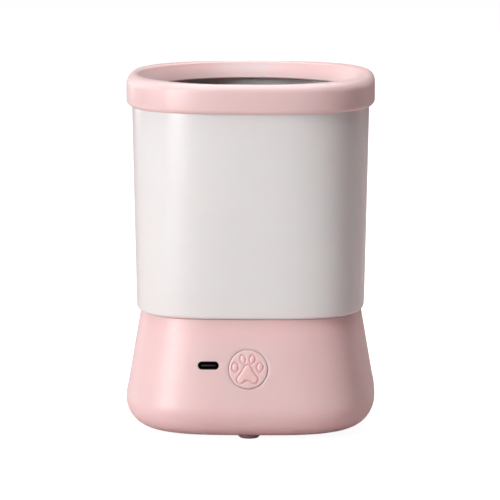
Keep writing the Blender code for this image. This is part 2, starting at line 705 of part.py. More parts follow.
def circuit_board():
    """Board behind the front wall, screwed to two bosses."""
    back = BOARD_FRONT + BOARD_THICK
    outline = rounded_rectangle((-0.0260, -0.0105), (0.0150, 0.0115), 0.0015, 2)
    holes = [circle(0.0014, 12, (x, -y)) for x, y in BOARD_SCREWS]
    plate("main_board", [outline, *holes], BOARD_FRONT, back, BOARD, parent=INTO_WALL)
    head, head_top, tip = back + GAP, back + GAP + 0.0011, 0.0048
    profile = [(0, head_top), (0.0020, head_top), (0.0020, head), (0.0009, head), (0.0009, tip), (0, tip)]
    for number, (x, y) in enumerate(BOARD_SCREWS, 1):
        turned(f"board_screw_{number}", profile, STEEL, (x, -y, 0), INTO_WALL, steps=8)


# ---------------------------------------------------------------- drive: couplings, gears, motor

DRIVE = empty("drive_frame", parent=BASE)
IDLER_AXIS = empty("idler_frame", (*IDLER, 0), parent=BASE)
ROTOR_AXIS = empty("rotor_frame", (*MOTOR, 0), parent=BASE)


def gear_outline(teeth, tooth_at):
    """Involute teeth with a little backlash. tooth_at is the direction of one tooth's middle."""
    pressure = math.radians(20)
    pitch_radius = MODULE * teeth / 2
    base_radius = pitch_radius * math.cos(pressure)
    tip, root = pitch_radius + 0.74 * MODULE, pitch_radius - 1.08 * MODULE
    involute = math.tan(pressure) - pressure
    half_tooth = math.pi / 2 / teeth * 0.86

    def half_angle(radius):
        if radius <= base_radius:
            return half_tooth + involute
        local = math.acos(base_radius / radius)
        return half_tooth + involute - (math.tan(local) - local)

    radii = [root, tip]
    points = []
    for tooth in range(teeth):
        middle = tooth_at + 2 * math.pi * tooth / teeth
        for radius in radii:
            points.append((radius, middle - half_angle(radius)))
        for radius in reversed(radii):
            points.append((radius, middle + half_angle(radius)))
    return [(radius * math.cos(angle), radius * math.sin(angle)) for radius, angle in points]


def gears():
    """Motor pinion to idler wheel, idler pinion to output gear: three to one at each step."""
    half_pitch = math.pi / PINION_TEETH
    output = [gear_outline(WHEEL_TEETH, IDLER_BEARING), circle(SHAFT_BORE)]
    plate("output_gear", output, 0.0382, 0.0422, NYLON, parent=DRIVE)
    pin_bore = circle(0.0018, 12)
    pinion = gear_outline(PINION_TEETH, IDLER_BEARING + math.pi + half_pitch)
    plate("idler_pinion", [pinion, pin_bore], 0.0371, 0.0424, NYLON, parent=IDLER_AXIS)
    wheel = gear_outline(WHEEL_TEETH, MOTOR_BEARING)
    plate("idler_wheel", [wheel, pin_bore], 0.0330, 0.0368, NYLON, parent=IDLER_AXIS)
    pinion = gear_outline(PINION_TEETH, MOTOR_BEARING + math.pi + half_pitch)
    plate("motor_pinion", [pinion, circle(0.0013, 12)], 0.0326, 0.0372, BRASS, parent=ROTOR_AXIS)
    cylinder("idler_axle", 0.0015, TRAY_UNDER + 0.0002, 0.0445, steps=12, parent=IDLER_AXIS, look=STEEL)


def drive_line():
    """Drive shaft in two bearings, sealed at the deck, with the male half of the coupling on top."""
    cylinder("drive_shaft", SHAFT_RADIUS, TRAY_UNDER + GAP, 0.0520, parent=DRIVE, look=STEEL)
    dog = as_mesh(plate("drive_dog", [star(STAR_RADIUS)], DOG_BOTTOM, DOG_TOP, CHARCOAL))
    dog.parent = DRIVE
    cut(dog, cylinder("dog_bore", SHAFT_BORE, DOG_BOTTOM - 0.0010, 0.0524))
    bush("upper_bearing", SHAFT_BORE, 0.0090, 0.0429, 0.0450, BRASS, parent=BASE)
    bore, plug, brim = SHAFT_BORE + 0.0002, 0.0090, 0.0110
    seal_low, seal_top = 0.0453, 0.0483
    seal = [(bore, seal_top), (brim - 0.0004, seal_top), (brim, seal_top - GAP), (brim, DECK_TOP + GAP),
            (plug, DECK_TOP + GAP), (plug, seal_low), (bore, seal_low)]
    turned("deck_seal", seal, RUBBER, parent=BASE, steps=FINE, ring=True)
    flange, sleeve, seat = 0.0068, 0.0057, TRAY_UNDER + TRAY_THICK + GAP
    lower = [(SHAFT_BORE, seat + 0.0008), (flange, seat + 0.0008), (flange, seat), (sleeve, seat),
             (sleeve, TRAY_UNDER), (SHAFT_BORE, TRAY_UNDER)]
    turned("lower_bearing", lower, BRASS, parent=BASE, ring=True)


def motor_screw_places():
    across = Vector((math.cos(MOTOR_BEARING), math.sin(MOTOR_BEARING))) * MOTOR_SCREW_RADIUS
    return [MOTOR + across, MOTOR - across]


def gear_tray():
    """Plate under the gears that carries the motor, the idler's pin and the shaft's lower bearing."""
    outline = rounded_rectangle((-0.0260, -0.0200), (0.0400, 0.0242), 0.0040)
    holes = [circle(0.0013, 12, place) for place in TRAY_SCREWS + motor_screw_places()]
    holes += [circle(0.0060, FINE), circle(0.0018, 12, IDLER), circle(0.0043, COARSE, MOTOR)]
    plate("gear_tray", [outline, *holes], TRAY_UNDER, TRAY_UNDER + TRAY_THICK, CHARCOAL, parent=BASE)
    head, head_low, tip = TRAY_UNDER - GAP, TRAY_UNDER - GAP - 0.0012, 0.0360
    profile = [(0, tip), (0.0010, tip), (0.0010, head), (0.0021, head), (0.0021, head_low), (0, head_low)]
    for number, (x, y) in enumerate(TRAY_SCREWS, 1):
        turned(f"tray_screw_{number}", profile, STEEL, (x, y, 0), BASE, steps=8)
    seat, tip = TRAY_UNDER + TRAY_THICK + GAP, 0.0262
    head_top = seat + 0.0009
    profile = [(0, head_top), (0.0019, head_top), (0.0019, seat), (0.0009, seat), (0.0009, tip), (0, tip)]
    for number, (x, y) in enumerate(motor_screw_places(), 1):
        turned(f"motor_screw_{number}", profile, STEEL, (x, y, 0), BASE, steps=8)


def motor():
    """Can motor hung under the tray: steel can, plastic end cap, and a shaft that turns in the can."""
    end, nose, nose_radius = 0.0068, 0.0287, 0.0038
    profile = [(0, nose), (nose_radius, nose), (nose_radius, MOTOR_TOP), (MOTOR_RADIUS - 0.0010, MOTOR_TOP),
               (MOTOR_RADIUS, MOTOR_TOP - 0.0010), (MOTOR_RADIUS, end), (0, end)]
    can = turned("motor_can", profile, STEEL, (*MOTOR, 0), BASE, steps=FINE)
    holes = [(0.0012, 0.0255, 0.0290, place) for place in motor_screw_places()]
    shaft_hole = cylinder("motor_shaft_hole", 0.0013, 0.0120, 0.0300, MOTOR, 12)
    cut(can, shaft_hole, drills("motor_screw_holes", holes))
    cap_radius, cap_low = 0.0112, 0.0052
    cap = [(0, end - GAP), (cap_radius, end - GAP), (cap_radius, cap_low), (0, cap_low)]
    turned("motor_endcap", cap, NYLON, (*MOTOR, 0), BASE, steps=FINE)
    cylinder("motor_shaft", 0.0010, 0.0130, 0.0375, steps=12, parent=ROTOR_AXIS, look=STEEL)


# ---------------------------------------------------------------- battery, leads and cover screws


def battery():
    """One cell on its side in an open cradle."""
    wall, clearance = 0.0012, 0.0003
    half = CELL_LENGTH / 2
    cell = cylinder("battery_cell", CELL_RADIUS, -half, half, steps=FINE, look=CELL_WRAP)
    cell.rotation_euler = (0, math.pi / 2, 0)
    cell.location = (0, CELL_Y, CELL_Z)
    cell.parent = BASE
    side = CELL_RADIUS + clearance + wall
    reach = half + clearance + wall
    low, high = (-reach, CELL_Y - side, COVER_TOP + GAP), (reach, CELL_Y + side, 0.0130)
    cradle = box("battery_cradle", low, high, CHARCOAL, BASE)
    half += clearance
    hollow = cylinder("cradle_hollow", CELL_RADIUS + clearance, -half, half, steps=FINE)
    hollow.rotation_euler = (0, math.pi / 2, 0)
    hollow.location = (0, CELL_Y, CELL_Z)
    cut(cradle, hollow)


def smooth_route(points, per_span=5):
    """A Catmull-Rom curve through the route's own points."""
    held = [Vector(p) for p in points]
    padded = [held[0] * 2 - held[1], *held, held[-1] * 2 - held[-2]]
    route = []
    for place in range(1, len(padded) - 2):
        a, b, c, d = padded[place - 1:place + 3]
        for step in range(per_span):
            t = step / per_span
            route.append(0.5 * (2 * b + (c - a) * t + (2 * a - 5 * b + 4 * c - d) * t ** 2
                                + (3 * b - a - 3 * c + d) * t ** 3))
    return route + [held[-1]]


LEADS = {
    "battery_lead_red": (RED_WIRE, [(-0.0262, 0.0230, 0.0215), (-0.0305, 0.0140, 0.0215),
                                    (-0.0330, -0.0020, 0.0220), (-0.0300, -0.0170, 0.0240),
                                    (-0.0220, -0.0290, 0.0265), (-0.0120, -0.0410, 0.0300)]),
    "battery_lead_black": (BLACK_WIRE, [(0.0262, 0.0230, 0.0215), (0.0310, 0.0140, 0.0215),
                                        (0.0335, -0.0020, 0.0220), (0.0305, -0.0170, 0.0240),
                                        (0.0220, -0.0290, 0.0265), (0.0075, -0.0410, 0.0300)]),
    "motor_lead_red": (RED_WIRE, [(-0.0060, -0.0020, 0.0065), (-0.0110, -0.0060, 0.0080),
                                  (-0.0130, -0.0170, 0.0150), (-0.0105, -0.0290, 0.0230),
                                  (-0.0065, -0.0410, 0.0270)]),
    "motor_lead_black": (BLACK_WIRE, [(0.0210, -0.0140, 0.0065), (0.0235, -0.0200, 0.0085),
                                      (0.0200, -0.0280, 0.0160), (0.0100, -0.0345, 0.0225),
                                      (0.0010, -0.0410, 0.0265)]),
}


def leads():
    """Soldered leads from the cell and the motor to the circuit board."""
    for name, (look, points) in LEADS.items():
        route = smooth_route(points, 3)
        curve = bpy.data.curves.new(name, "CURVE")
        curve.dimensions = "3D"
        curve.bevel_depth = 0.0007
        curve.bevel_resolution = 2
        curve.use_fill_caps = True
        spline = curve.splines.new("POLY")
        spline.points.add(len(route) - 1)
        for point, place in zip(spline.points, route):
            point.co = (*place, 1)
        add_object(name, curve, look, parent=BASE)


def cover_screws():
    """Screws up into the housing's bosses, their heads sunk in the cover."""
    head, head_low, tip = FOOT_STAND + 0.0014 - GAP, FOOT_STAND + 0.0002, 0.0120
    profile = [(0, tip), (0.0012, tip), (0.0012, head), (0.0027, head), (0.0027, head_low), (0, head_low)]
    for number, (x, y) in enumerate(COVER_SCREWS, 1):
        turned(f"cover_screw_{number}", profile, STEEL, (x, y, 0), BASE, steps=8)


splash_ring()
ring_gasket()
cup_shell()
cup_bearing()
spindle()
drum()
bristle_sleeve()
floor_pad()
base_housing()
base_cover()
feet()
power_button()
tact_switch()
usb_socket()
circuit_board()
gears()
drive_line()
gear_tray()
motor()
battery()
leads()
cover_screws()
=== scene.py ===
"""Looks for a rechargeable paw washer cup: fine mouldings, soft bristles, finishes and a plain studio.

Metres, +Z up, -Y is the front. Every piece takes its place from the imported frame's own boxes and from the
sizes that the frame was designed with.
"""

import json
import math

import bmesh
import bpy
from bpy.props import FloatProperty, FloatVectorProperty, IntProperty, PointerProperty
from mathutils import Matrix, Vector


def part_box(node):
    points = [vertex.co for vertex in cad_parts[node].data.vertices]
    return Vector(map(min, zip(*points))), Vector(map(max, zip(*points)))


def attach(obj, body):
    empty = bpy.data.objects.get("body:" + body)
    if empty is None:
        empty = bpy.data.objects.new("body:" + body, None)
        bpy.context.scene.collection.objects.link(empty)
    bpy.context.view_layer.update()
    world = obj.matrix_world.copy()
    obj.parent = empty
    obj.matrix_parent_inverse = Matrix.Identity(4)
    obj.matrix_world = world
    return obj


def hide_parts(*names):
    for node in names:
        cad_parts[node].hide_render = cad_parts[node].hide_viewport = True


bl_info = {
    "name": "Paw Washer Cup",
    "version": (1, 0, 0),
    "blender": (4, 5, 0),
    "location": "View3D > Sidebar > Paw Washer",
    "description": "Builds the visible pieces of a paw washer cup round its packed frame",
    "category": "Add Mesh",
}

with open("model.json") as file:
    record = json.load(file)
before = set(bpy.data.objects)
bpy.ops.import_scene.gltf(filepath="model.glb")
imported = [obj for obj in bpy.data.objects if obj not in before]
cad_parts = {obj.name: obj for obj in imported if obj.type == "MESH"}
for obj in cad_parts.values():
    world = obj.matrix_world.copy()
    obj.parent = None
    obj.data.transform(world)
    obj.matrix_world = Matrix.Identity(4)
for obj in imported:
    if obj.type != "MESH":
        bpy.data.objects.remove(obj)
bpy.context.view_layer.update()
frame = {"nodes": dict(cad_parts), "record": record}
NODE_BODY = {node: body for body, nodes in frame["record"]["behaviour"]["bodies"].items() for node in nodes}

# ---- sizes read from the frame

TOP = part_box("splash_ring")[1].z
RING_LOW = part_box("splash_ring")[0].z
RING_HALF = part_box("splash_ring")[1].x
CUP_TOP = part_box("cup_shell")[1].z
CUP_TOP_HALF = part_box("cup_shell")[1].x
BASE_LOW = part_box("base_housing")[0].z
BASE_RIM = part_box("base_housing")[1].z
BASE_WIDE_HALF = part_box("base_housing")[1].x
DRUM_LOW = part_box("brush_drum")[0].z
DRUM_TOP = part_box("brush_drum")[1].z
DRUM_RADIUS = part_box("brush_drum")[1].x
SLEEVE_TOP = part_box("bristle_sleeve")[1].z
COVER_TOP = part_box("base_cover")[1].z
COVER_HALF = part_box("base_cover")[1].x

# ---- sizes of the design

GAP = 0.0003                # left between pieces that meet
WALL = 0.0024
BASE_RIM_HALF = 0.04846
BASE_WIDE_Z = 0.0142
BASE_FLAT_HALF = 0.0424
BASE_CORNER = 3.6           # exponent of the rounded square; 2 is a circle
RING_CORNER = 3.0
DECK_TOP = 0.0474
DECK_UNDER = 0.0449
SEAT_HALF = 0.0445
CUP_LOW = 0.0542
CUP_LOW_HALF = 0.0504
CUP_WALL = 0.0022
SPIGOT_HALF = 0.0441
SPIGOT_LOW = 0.0482
LIP_HALF = 0.0460
LIP_LOW = 0.1490
LIP_CORNER = 2.0
BUTTON_Z = 0.0327
BUTTON_RADIUS = 0.0085
PORT_X, PORT_Y = -0.0173, 0.0016
PORT_WIDTH, PORT_HEIGHT = 0.0092, 0.0036
DRUM_FLOOR_TOP = 0.0734
DRUM_BORE = 0.0410
SLEEVE_BORE = 0.0390
SLEEVE_RIM_RADIUS = 0.0446
DOG_RADIUS = 0.0062         # middle of the coupling star's lobes
SHAFT_BORE = 0.0033
AXLE_BORE = 0.0018
MODULE = 0.0008
WHEEL_TEETH, PINION_TEETH = 36, 12
IDLER_BEARING = math.radians(27)        # direction from the drive shaft to the idler
MOTOR_BEARING = math.radians(240)       # direction from the idler to the motor
CENTRES = 0.0192                        # between the shafts of each pair of gears
BOARD_FRONT = 0.0090        # depth of the circuit board behind the wall's outer face
BOARD_BACK = 0.0106
BOARD_SCREWS = [(-0.0225, -0.0080), (0.0120, -0.0080)]
CELL_RADIUS = 0.0091
CELL_Y, CELL_Z = 0.0245, 0.0152
COVER_SCREWS = [(sx * 0.031, sy * 0.028) for sx in (-1, 1) for sy in (-1, 1)]
FEET = {"front": (0, -0.0385), "back": (0, 0.0385), "left": (-0.0385, 0), "right": (0.0385, 0)}

FLARE = (BASE_WIDE_HALF - BASE_RIM_HALF) / (BASE_RIM - BASE_WIDE_Z)
WALL_TILT = math.atan(FLARE)
IDLER = Vector((math.cos(IDLER_BEARING), math.sin(IDLER_BEARING))) * CENTRES
MOTOR = IDLER + Vector((math.cos(MOTOR_BEARING), math.sin(MOTOR_BEARING))) * CENTRES

ROUND = 160                 # steps round a large moulding
SMALL = 48                  # steps round a small turned piece
PAST = 0.001                # how far a cutter reaches past the face that it opens
WELD = 0.000001


def base_half(z):
    return BASE_RIM_HALF + (BASE_RIM - z) * FLARE


def cup_half(z):
    return CUP_LOW_HALF + (CUP_TOP_HALF - CUP_LOW_HALF) * (z - CUP_LOW) / (CUP_TOP - CUP_LOW)


def cup_corner(z):
    share = min(1, max(0, (z - CUP_LOW) / (CUP_TOP - CUP_LOW)))
    return BASE_CORNER + (RING_CORNER - BASE_CORNER) * share


# X runs to the right, Y up the sloping front wall and Z out of it, from the button's centre.
WALL_FRAME = (Matrix.Translation((0, -base_half(BUTTON_Z), BUTTON_Z))
              @ Matrix.Rotation(math.pi / 2 - WALL_TILT, 4, "X"))
# Z runs along the cell, from its middle.
CELL_FRAME = Matrix.Translation((0, CELL_Y, CELL_Z)) @ Matrix.Rotation(math.pi / 2, 4, "Y")

# ---- settings


class WasherSizes(bpy.types.PropertyGroup):
    """Sizes that a user may change without touching the frame."""

    bristle_rows: IntProperty(name="Bristle rows", description="Rows of bristles up the sleeve", default=10)
    bristle_columns: IntProperty(name="Bristles in a row", description="Bristles round the sleeve",
                                 default=22)
    bristle_length: FloatProperty(name="Bristle length", description="From the sleeve's wall to the tip",
                                  default=0.0110, unit="LENGTH")
    bristle_radius: FloatProperty(name="Bristle radius", description="Radius near the root", default=0.0013,
                                  unit="LENGTH")
    seam_lip: FloatProperty(name="Seam rounding", default=0.00022, unit="LENGTH",
                            description="Rounding of the edges round the button and the port")
    paw_relief: FloatProperty(name="Paw relief", description="Height of the pads on the button",
                              default=0.00030, unit="LENGTH")
    paw_groove: FloatProperty(name="Paw groove", description="Depth of the line round each pad",
                              default=0.00058, unit="LENGTH")


class WasherColours(bpy.types.PropertyGroup):
    """Base colours of the finishes, linear."""

    pink: FloatVectorProperty(name="Pink", description="Ring, base and button", subtype="COLOR",
                              default=(0.885, 0.602, 0.600))
    white: FloatVectorProperty(name="White", description="Cup", subtype="COLOR",
                               default=(0.822, 0.797, 0.793))
    slate: FloatVectorProperty(name="Slate", description="Soft bristles", subtype="COLOR",
                               default=(0.030, 0.033, 0.046))
    charcoal: FloatVectorProperty(name="Charcoal", description="Drum and inner mouldings", subtype="COLOR",
                                  default=(0.028, 0.029, 0.032))
    foot: FloatVectorProperty(name="Feet", description="Rubber feet", subtype="COLOR",
                              default=(0.50, 0.30, 0.30))


class WasherStudio(bpy.types.PropertyGroup):
    """Camera and lights."""

    distance: FloatProperty(name="Camera distance", description="From the cup's axis, level", default=1.5,
                            unit="LENGTH")
    height: FloatProperty(name="Camera height", description="Above the table", default=0.311, unit="LENGTH")
    shift: FloatProperty(name="Camera shift", description="To the right of the cup's axis",
                         default=-0.0005, unit="LENGTH")
    azimuth: FloatProperty(name="Camera azimuth", description="Round to the right of the front",
                           default=math.radians(1.4), subtype="ANGLE")
    pitch: FloatProperty(name="Camera pitch", description="Below level", default=math.radians(8.87),
                         subtype="ANGLE")
    lens: FloatProperty(name="Lens", description="Focal length on a 36 mm frame", default=245.1,
                        unit="CAMERA")
    key: FloatProperty(name="Key light", description="Soft box in front at the left", default=17.4,
                       unit="POWER")
    feather: FloatProperty(name="Feather light", description="Narrow panel beside the soft box",
                           default=2.3, unit="POWER")
    side: FloatProperty(name="Side light", description="Panel behind at the left", default=4.9, unit="POWER")
    rim: FloatProperty(name="Rim light", description="Panel behind at the right", default=1.7, unit="POWER")
    top: FloatProperty(name="Top light", description="Overhead panel", default=12.0, unit="POWER")
    back: FloatProperty(name="Back light", description="High panel behind", default=8.1, unit="POWER")
    ambient: FloatProperty(name="Ambient", description="Strength of the surroundings' light", default=0.04)
    bounce: FloatVectorProperty(name="Bounce", description="Colour of the rim light and the surroundings",
                                subtype="COLOR", default=(1.0, 0.80, 0.79))


def sizes():
    return bpy.context.scene.washer_sizes


def colours():
    return bpy.context.scene.washer_colours


def studio():
    return bpy.context.scene.washer_studio


# ---- finishes


def feed(tree, target, value):
    """Gives a node's input a value, or links it to another node's output."""
    if isinstance(value, bpy.types.NodeSocket):
        tree.links.new(value, target)
    else:
        target.default_value = value


def add_node(tree, kind, inputs=None, **settings):
    made = tree.nodes.new(kind)
    for key, value in settings.items():
        setattr(made, key, value)
    for key, value in (inputs or {}).items():
        feed(tree, made.inputs[key], value)
    return made


def camera_choice(tree, others, seen):
    """One shader for what the camera sees directly, another for all other rays."""
    direct = add_node(tree, "ShaderNodeLightPath").outputs["Is Camera Ray"]
    return add_node(tree, "ShaderNodeMixShader", {"Fac": direct, 1: others, 2: seen}).outputs["Shader"]


class Finish:
    """A Principled material with short-hands for its procedural nodes."""

    def __init__(self, name, roughness, metallic=0.0, specular=0.5, coat=0.0, sheen=0.0, subsurface=0.0):
        self.material = bpy.data.materials.new(name)
        self.material.use_nodes = True
        self.tree = self.material.node_tree
        self.shader = self.tree.nodes["Principled BSDF"].inputs
        self.base_roughness = roughness
        values = {
            "Roughness": roughness,
            "Metallic": metallic,
            "Specular IOR Level": specular,
            "Coat Weight": coat,
            "Coat Roughness": 0.12,
            "Sheen Weight": sheen,
            "Sheen Roughness": 0.45,
            "Subsurface Weight": subsurface,
            "Subsurface Radius": (0.0070, 0.0022, 0.0020),
            "Subsurface Scale": 1.0,
        }
        for key, value in values.items():
            self.shader[key].default_value = value

    def coordinates(self, scale=(1, 1, 1), rotation=(0, 0, 0)):
        spot = add_node(self.tree, "ShaderNodeTexCoord").outputs["Object"]
        return add_node(self.tree, "ShaderNodeMapping",
                        {"Vector": spot, "Rotation": rotation, "Scale": scale}).outputs["Vector"]

    def noise(self, scale, detail=3.0, stretch=(1, 1, 1)):
        return add_node(self.tree, "ShaderNodeTexNoise",
                        {"Vector": self.coordinates(stretch), "Scale": scale, "Detail": detail,
                         "Roughness": 0.55}).outputs["Fac"]

    def spread(self, value, low, high):
        """Brings the middle part of a noise to a range."""
        return add_node(self.tree, "ShaderNodeMapRange",
                        {"Value": value, "From Min": 0.3, "From Max": 0.7, "To Min": low,
                         "To Max": high}).outputs["Result"]

    def blend(self, factor, first, second):
        """Base colour between two colours."""
        mixer = add_node(self.tree, "ShaderNodeMix", {0: factor, 6: (*first, 1), 7: (*second, 1)},
                         data_type="RGBA")
        feed(self.tree, self.shader["Base Color"], mixer.outputs[2])

    def vary_colour(self, colour, scale, amount):
        """Cloudy light and dark of one colour."""
        darker = [channel * (1 - amount) for channel in colour]
        lighter = [min(1, channel * (1 + amount)) for channel in colour]
        self.blend(self.spread(self.noise(scale), 0, 1), darker, lighter)

    def vary_roughness(self, scale, amount, stretch=(1, 1, 1)):
        low, high = self.base_roughness - amount, self.base_roughness + amount
        feed(self.tree, self.shader["Roughness"], self.spread(self.noise(scale, stretch=stretch), low, high))

    def bump(self, heights, depth):
        """Chains one bump per (height, strength)."""
        normal = None
        for height, strength in heights:
            made = add_node(self.tree, "ShaderNodeBump",
                            {"Height": height, "Strength": strength, "Distance": depth})
            if normal:
                feed(self.tree, made.inputs["Normal"], normal)
            normal = made.outputs["Normal"]
        feed(self.tree, self.shader["Normal"], normal)

    def surface(self, colour, clouds, polish, grains, depth):
        """Colour with clouds (scale, amount), polish (scale, amount[, stretch]) and a relief of grains.

        A grain is (scale, detail, strength[, stretch]), and depth is the relief's height.
        """
        self.vary_colour(colour, *clouds)
        self.vary_roughness(*polish)
        heights = [(self.noise(scale, detail, *stretch), strength)
                   for scale, detail, strength, *stretch in grains]
        self.bump(heights, depth)
        return self.material


def pink_finish(name):
    """Satin moulded plastic: a fine spark-eroded grain and faint flow clouds."""
    finish = Finish(name, 0.40, specular=0.62, subsurface=0.45)
    return finish.surface(colours().pink, (38, 0.018), (160, 0.035), [(2600, 2, 0.22), (55, 1, 0.10)],
                          0.00004)


def white_finish(name):
    """Glossy moulded plastic with a slight waviness from the mould."""
    finish = Finish(name, 0.24, coat=0.15, subsurface=0.35)
    return finish.surface(colours().white, (30, 0.012), (120, 0.03), [(1900, 2, 0.12), (34, 1, 0.20)],
                          0.00004)


def slate_finish(name):
    """Soft silicone: matt, with a faint bloom and dust-fine grain."""
    finish = Finish(name, 0.46, sheen=0.25)
    return finish.surface(colours().slate, (90, 0.12), (220, 0.06), [(1500, 3, 0.35)], 0.00005)


def charcoal_finish(name):
    """Textured dark engineering plastic."""
    finish = Finish(name, 0.42, specular=0.45)
    return finish.surface(colours().charcoal, (120, 0.10), (300, 0.05), [(2200, 2, 0.5)], 0.00006)


def rubber_finish(name):
    """Dull black seal rubber."""
    finish = Finish(name, 0.62, specular=0.35, sheen=0.15)
    return finish.surface((0.024, 0.024, 0.025), (140, 0.15), (260, 0.07), [(1700, 4, 0.4)], 0.00006)


def foot_finish(name):
    """Soft dusky rubber that light gets into a little."""
    finish = Finish(name, 0.40, sheen=0.1, subsurface=0.25)
    return finish.surface(colours().foot, (200, 0.10), (300, 0.05), [(1800, 3, 0.35)], 0.00005)


def nylon_finish(name):
    """Unfilled nylon: creamy, waxy and slightly see-through at the teeth."""
    finish = Finish(name, 0.40, specular=0.45, subsurface=0.30)
    return finish.surface((0.78, 0.74, 0.64), (150, 0.05), (240, 0.05), [(1400, 2, 0.3)], 0.00005)


def steel_finish(name):
    """Turned steel: fine scratches round the work and a cloudy polish."""
    finish = Finish(name, 0.32, metallic=1.0)
    return finish.surface((0.57, 0.57, 0.59), (220, 0.04), (500, 0.05, (1, 1, 6)),
                          [(700, 2, 0.10, (1, 1, 14))], 0.00001)


def plated_finish(name):
    """Black-plated receptacle shell."""
    finish = Finish(name, 0.34, metallic=0.6)
    return finish.surface((0.012, 0.012, 0.013), (400, 0.2), (700, 0.06), [(2500, 2, 0.2)], 0.00002)


def brass_finish(name):
    """Brass with the marks of turning."""
    finish = Finish(name, 0.28, metallic=1.0)
    return finish.surface((0.72, 0.50, 0.20), (260, 0.10), (500, 0.07, (1, 1, 6)),
                          [(800, 2, 0.35, (1, 1, 14))], 0.00003)


def gold_finish(name):
    """Bright plating on the port's contacts."""
    finish = Finish(name, 0.22, metallic=1.0)
    return finish.surface((0.80, 0.58, 0.22), (500, 0.06), (900, 0.05), [(2600, 3, 0.2)], 0.00002)


def board_finish(name):
    """Green lacquer over copper tracks, which show as paler bands with square bends."""
    finish = Finish(name, 0.30, coat=0.4)
    along_board = finish.coordinates(rotation=(math.pi / 2 - WALL_TILT, 0, 0))
    tracks = add_node(finish.tree, "ShaderNodeTexBrick",
                      {"Vector": along_board, "Scale": 260, "Mortar Size": 0.16,
                       "Mortar Smooth": 0.2}).outputs["Fac"]
    finish.blend(tracks, (0.010, 0.095, 0.045), (0.035, 0.20, 0.085))
    finish.vary_roughness(320, 0.05)
    finish.bump([(tracks, 0.6), (finish.noise(900), 0.15)], 0.00004)
    return finish.material


def wrap_finish(name):
    """Shrink film on the cell, with soft wrinkles along it."""
    finish = Finish(name, 0.28, specular=0.55, coat=0.3)
    return finish.surface((0.025, 0.11, 0.33), (60, 0.08), (140, 0.06, (0.3, 1, 1)),
                          [(160, 3, 0.5, (0.25, 1, 1))], 0.00010)


def red_finish(name):
    """Insulation of a lead to a positive end."""
    return Finish(name, 0.36).surface((0.50, 0.025, 0.022), (300, 0.08), (500, 0.05), [(1800, 2, 0.3)],
                                      0.00003)


def black_finish(name):
    """Insulation of a lead to a negative end."""
    return Finish(name, 0.36).surface((0.018, 0.018, 0.019), (300, 0.08), (500, 0.05), [(1800, 2, 0.3)],
                                      0.00003)


FINISHES = {
    "satin_pink_plastic": pink_finish,
    "glossy_white_plastic": white_finish,
    "slate_silicone": slate_finish,
    "charcoal_plastic": charcoal_finish,
    "black_seal_rubber": rubber_finish,
    "dusky_foot_rubber": foot_finish,
    "natural_nylon": nylon_finish,
    "turned_steel": steel_finish,
    "black_plated_steel": plated_finish,
    "machined_brass": brass_finish,
    "gold_contacts": gold_finish,
    "lacquered_board": board_finish,
    "cell_shrink_wrap": wrap_finish,
    "red_insulation": red_finish,
    "black_insulation": black_finish,
}
MATERIALS = {}


def material(name):
    """The finish of that name, made when it is first asked for."""
    if name not in MATERIALS:
        MATERIALS[name] = FINISHES[name](name)
    return MATERIALS[name]


# ---- outlines and profiles


def arc(centre, radius, start, end, steps, tall=None):
    """Points of an arc, with its own height radius if it is an ellipse; angles in degrees from outwards."""
    tall = radius if tall is None else tall
    angles = [math.radians(start + (end - start) * step / steps) for step in range(steps + 1)]
    return [(centre[0] + radius * math.cos(angle), centre[1] + tall * math.sin(angle)) for angle in angles]


def polar(reach, angle, centre=(0, 0)):
    """The point at that distance and direction from the centre, the angle in radians."""
    return (centre[0] + reach * math.cos(angle), centre[1] + reach * math.sin(angle))


def angles_round(steps):
    return [2 * math.pi * step / steps for step in range(steps)]


def cornered(points, corner):
    return [(half, z, corner) for half, z in points]


def eased(profile, size=0.00025, closed=True):
    """The profile with a small chamfer at each corner; the ends of an open one stay as they are."""
    points = [Vector(point) for point in profile]
    result = []
    for spot, corner in enumerate(points):
        if not closed and spot in (0, len(points) - 1):
            result.append(tuple(corner))
            continue
        for near in (points[spot - 1], points[(spot + 1) % len(points)]):
            away = near - corner
            result.append(tuple(corner + away.normalized() * min(size, away.length / 3)))
    return result


def disc(radius, steps=SMALL, centre=(0, 0)):
    """Outline function of a circle. Every outline function gives its points, larger by its growth."""
    def outline(growth):
        return [polar(radius + growth, angle, centre) for angle in angles_round(steps)]
    return outline


def stadium(centre, width, height, steps=10):
    """Outline function of a slot with round ends."""
    def outline(growth):
        radius = height / 2 + growth
        reach = (width - height) / 2
        points = arc((centre[0] + reach, centre[1]), radius, -90, 90, steps)
        return points + arc((centre[0] - reach, centre[1]), radius, 90, 270, steps)
    return outline


def rounded_box(low, high, radius, steps=5):
    """Outline function of a rectangle with round corners."""
    near_x, near_y = low[0] + radius, low[1] + radius
    far_x, far_y = high[0] - radius, high[1] - radius
    centres = [(far_x, near_y), (far_x, far_y), (near_x, far_y), (near_x, near_y)]

    def outline(growth):
        points = []
        for quarter, centre in enumerate(centres):
            points += arc(centre, radius + growth, 90 * quarter - 90, 90 * quarter, steps)
        return points
    return outline


def star(radius, steps=144):
    """Outline function of the six-lobed coupling."""
    lobe = 0.0011

    def outline(growth):
        return [polar(radius + growth + lobe * math.cos(6 * angle), angle) for angle in angles_round(steps)]
    return outline


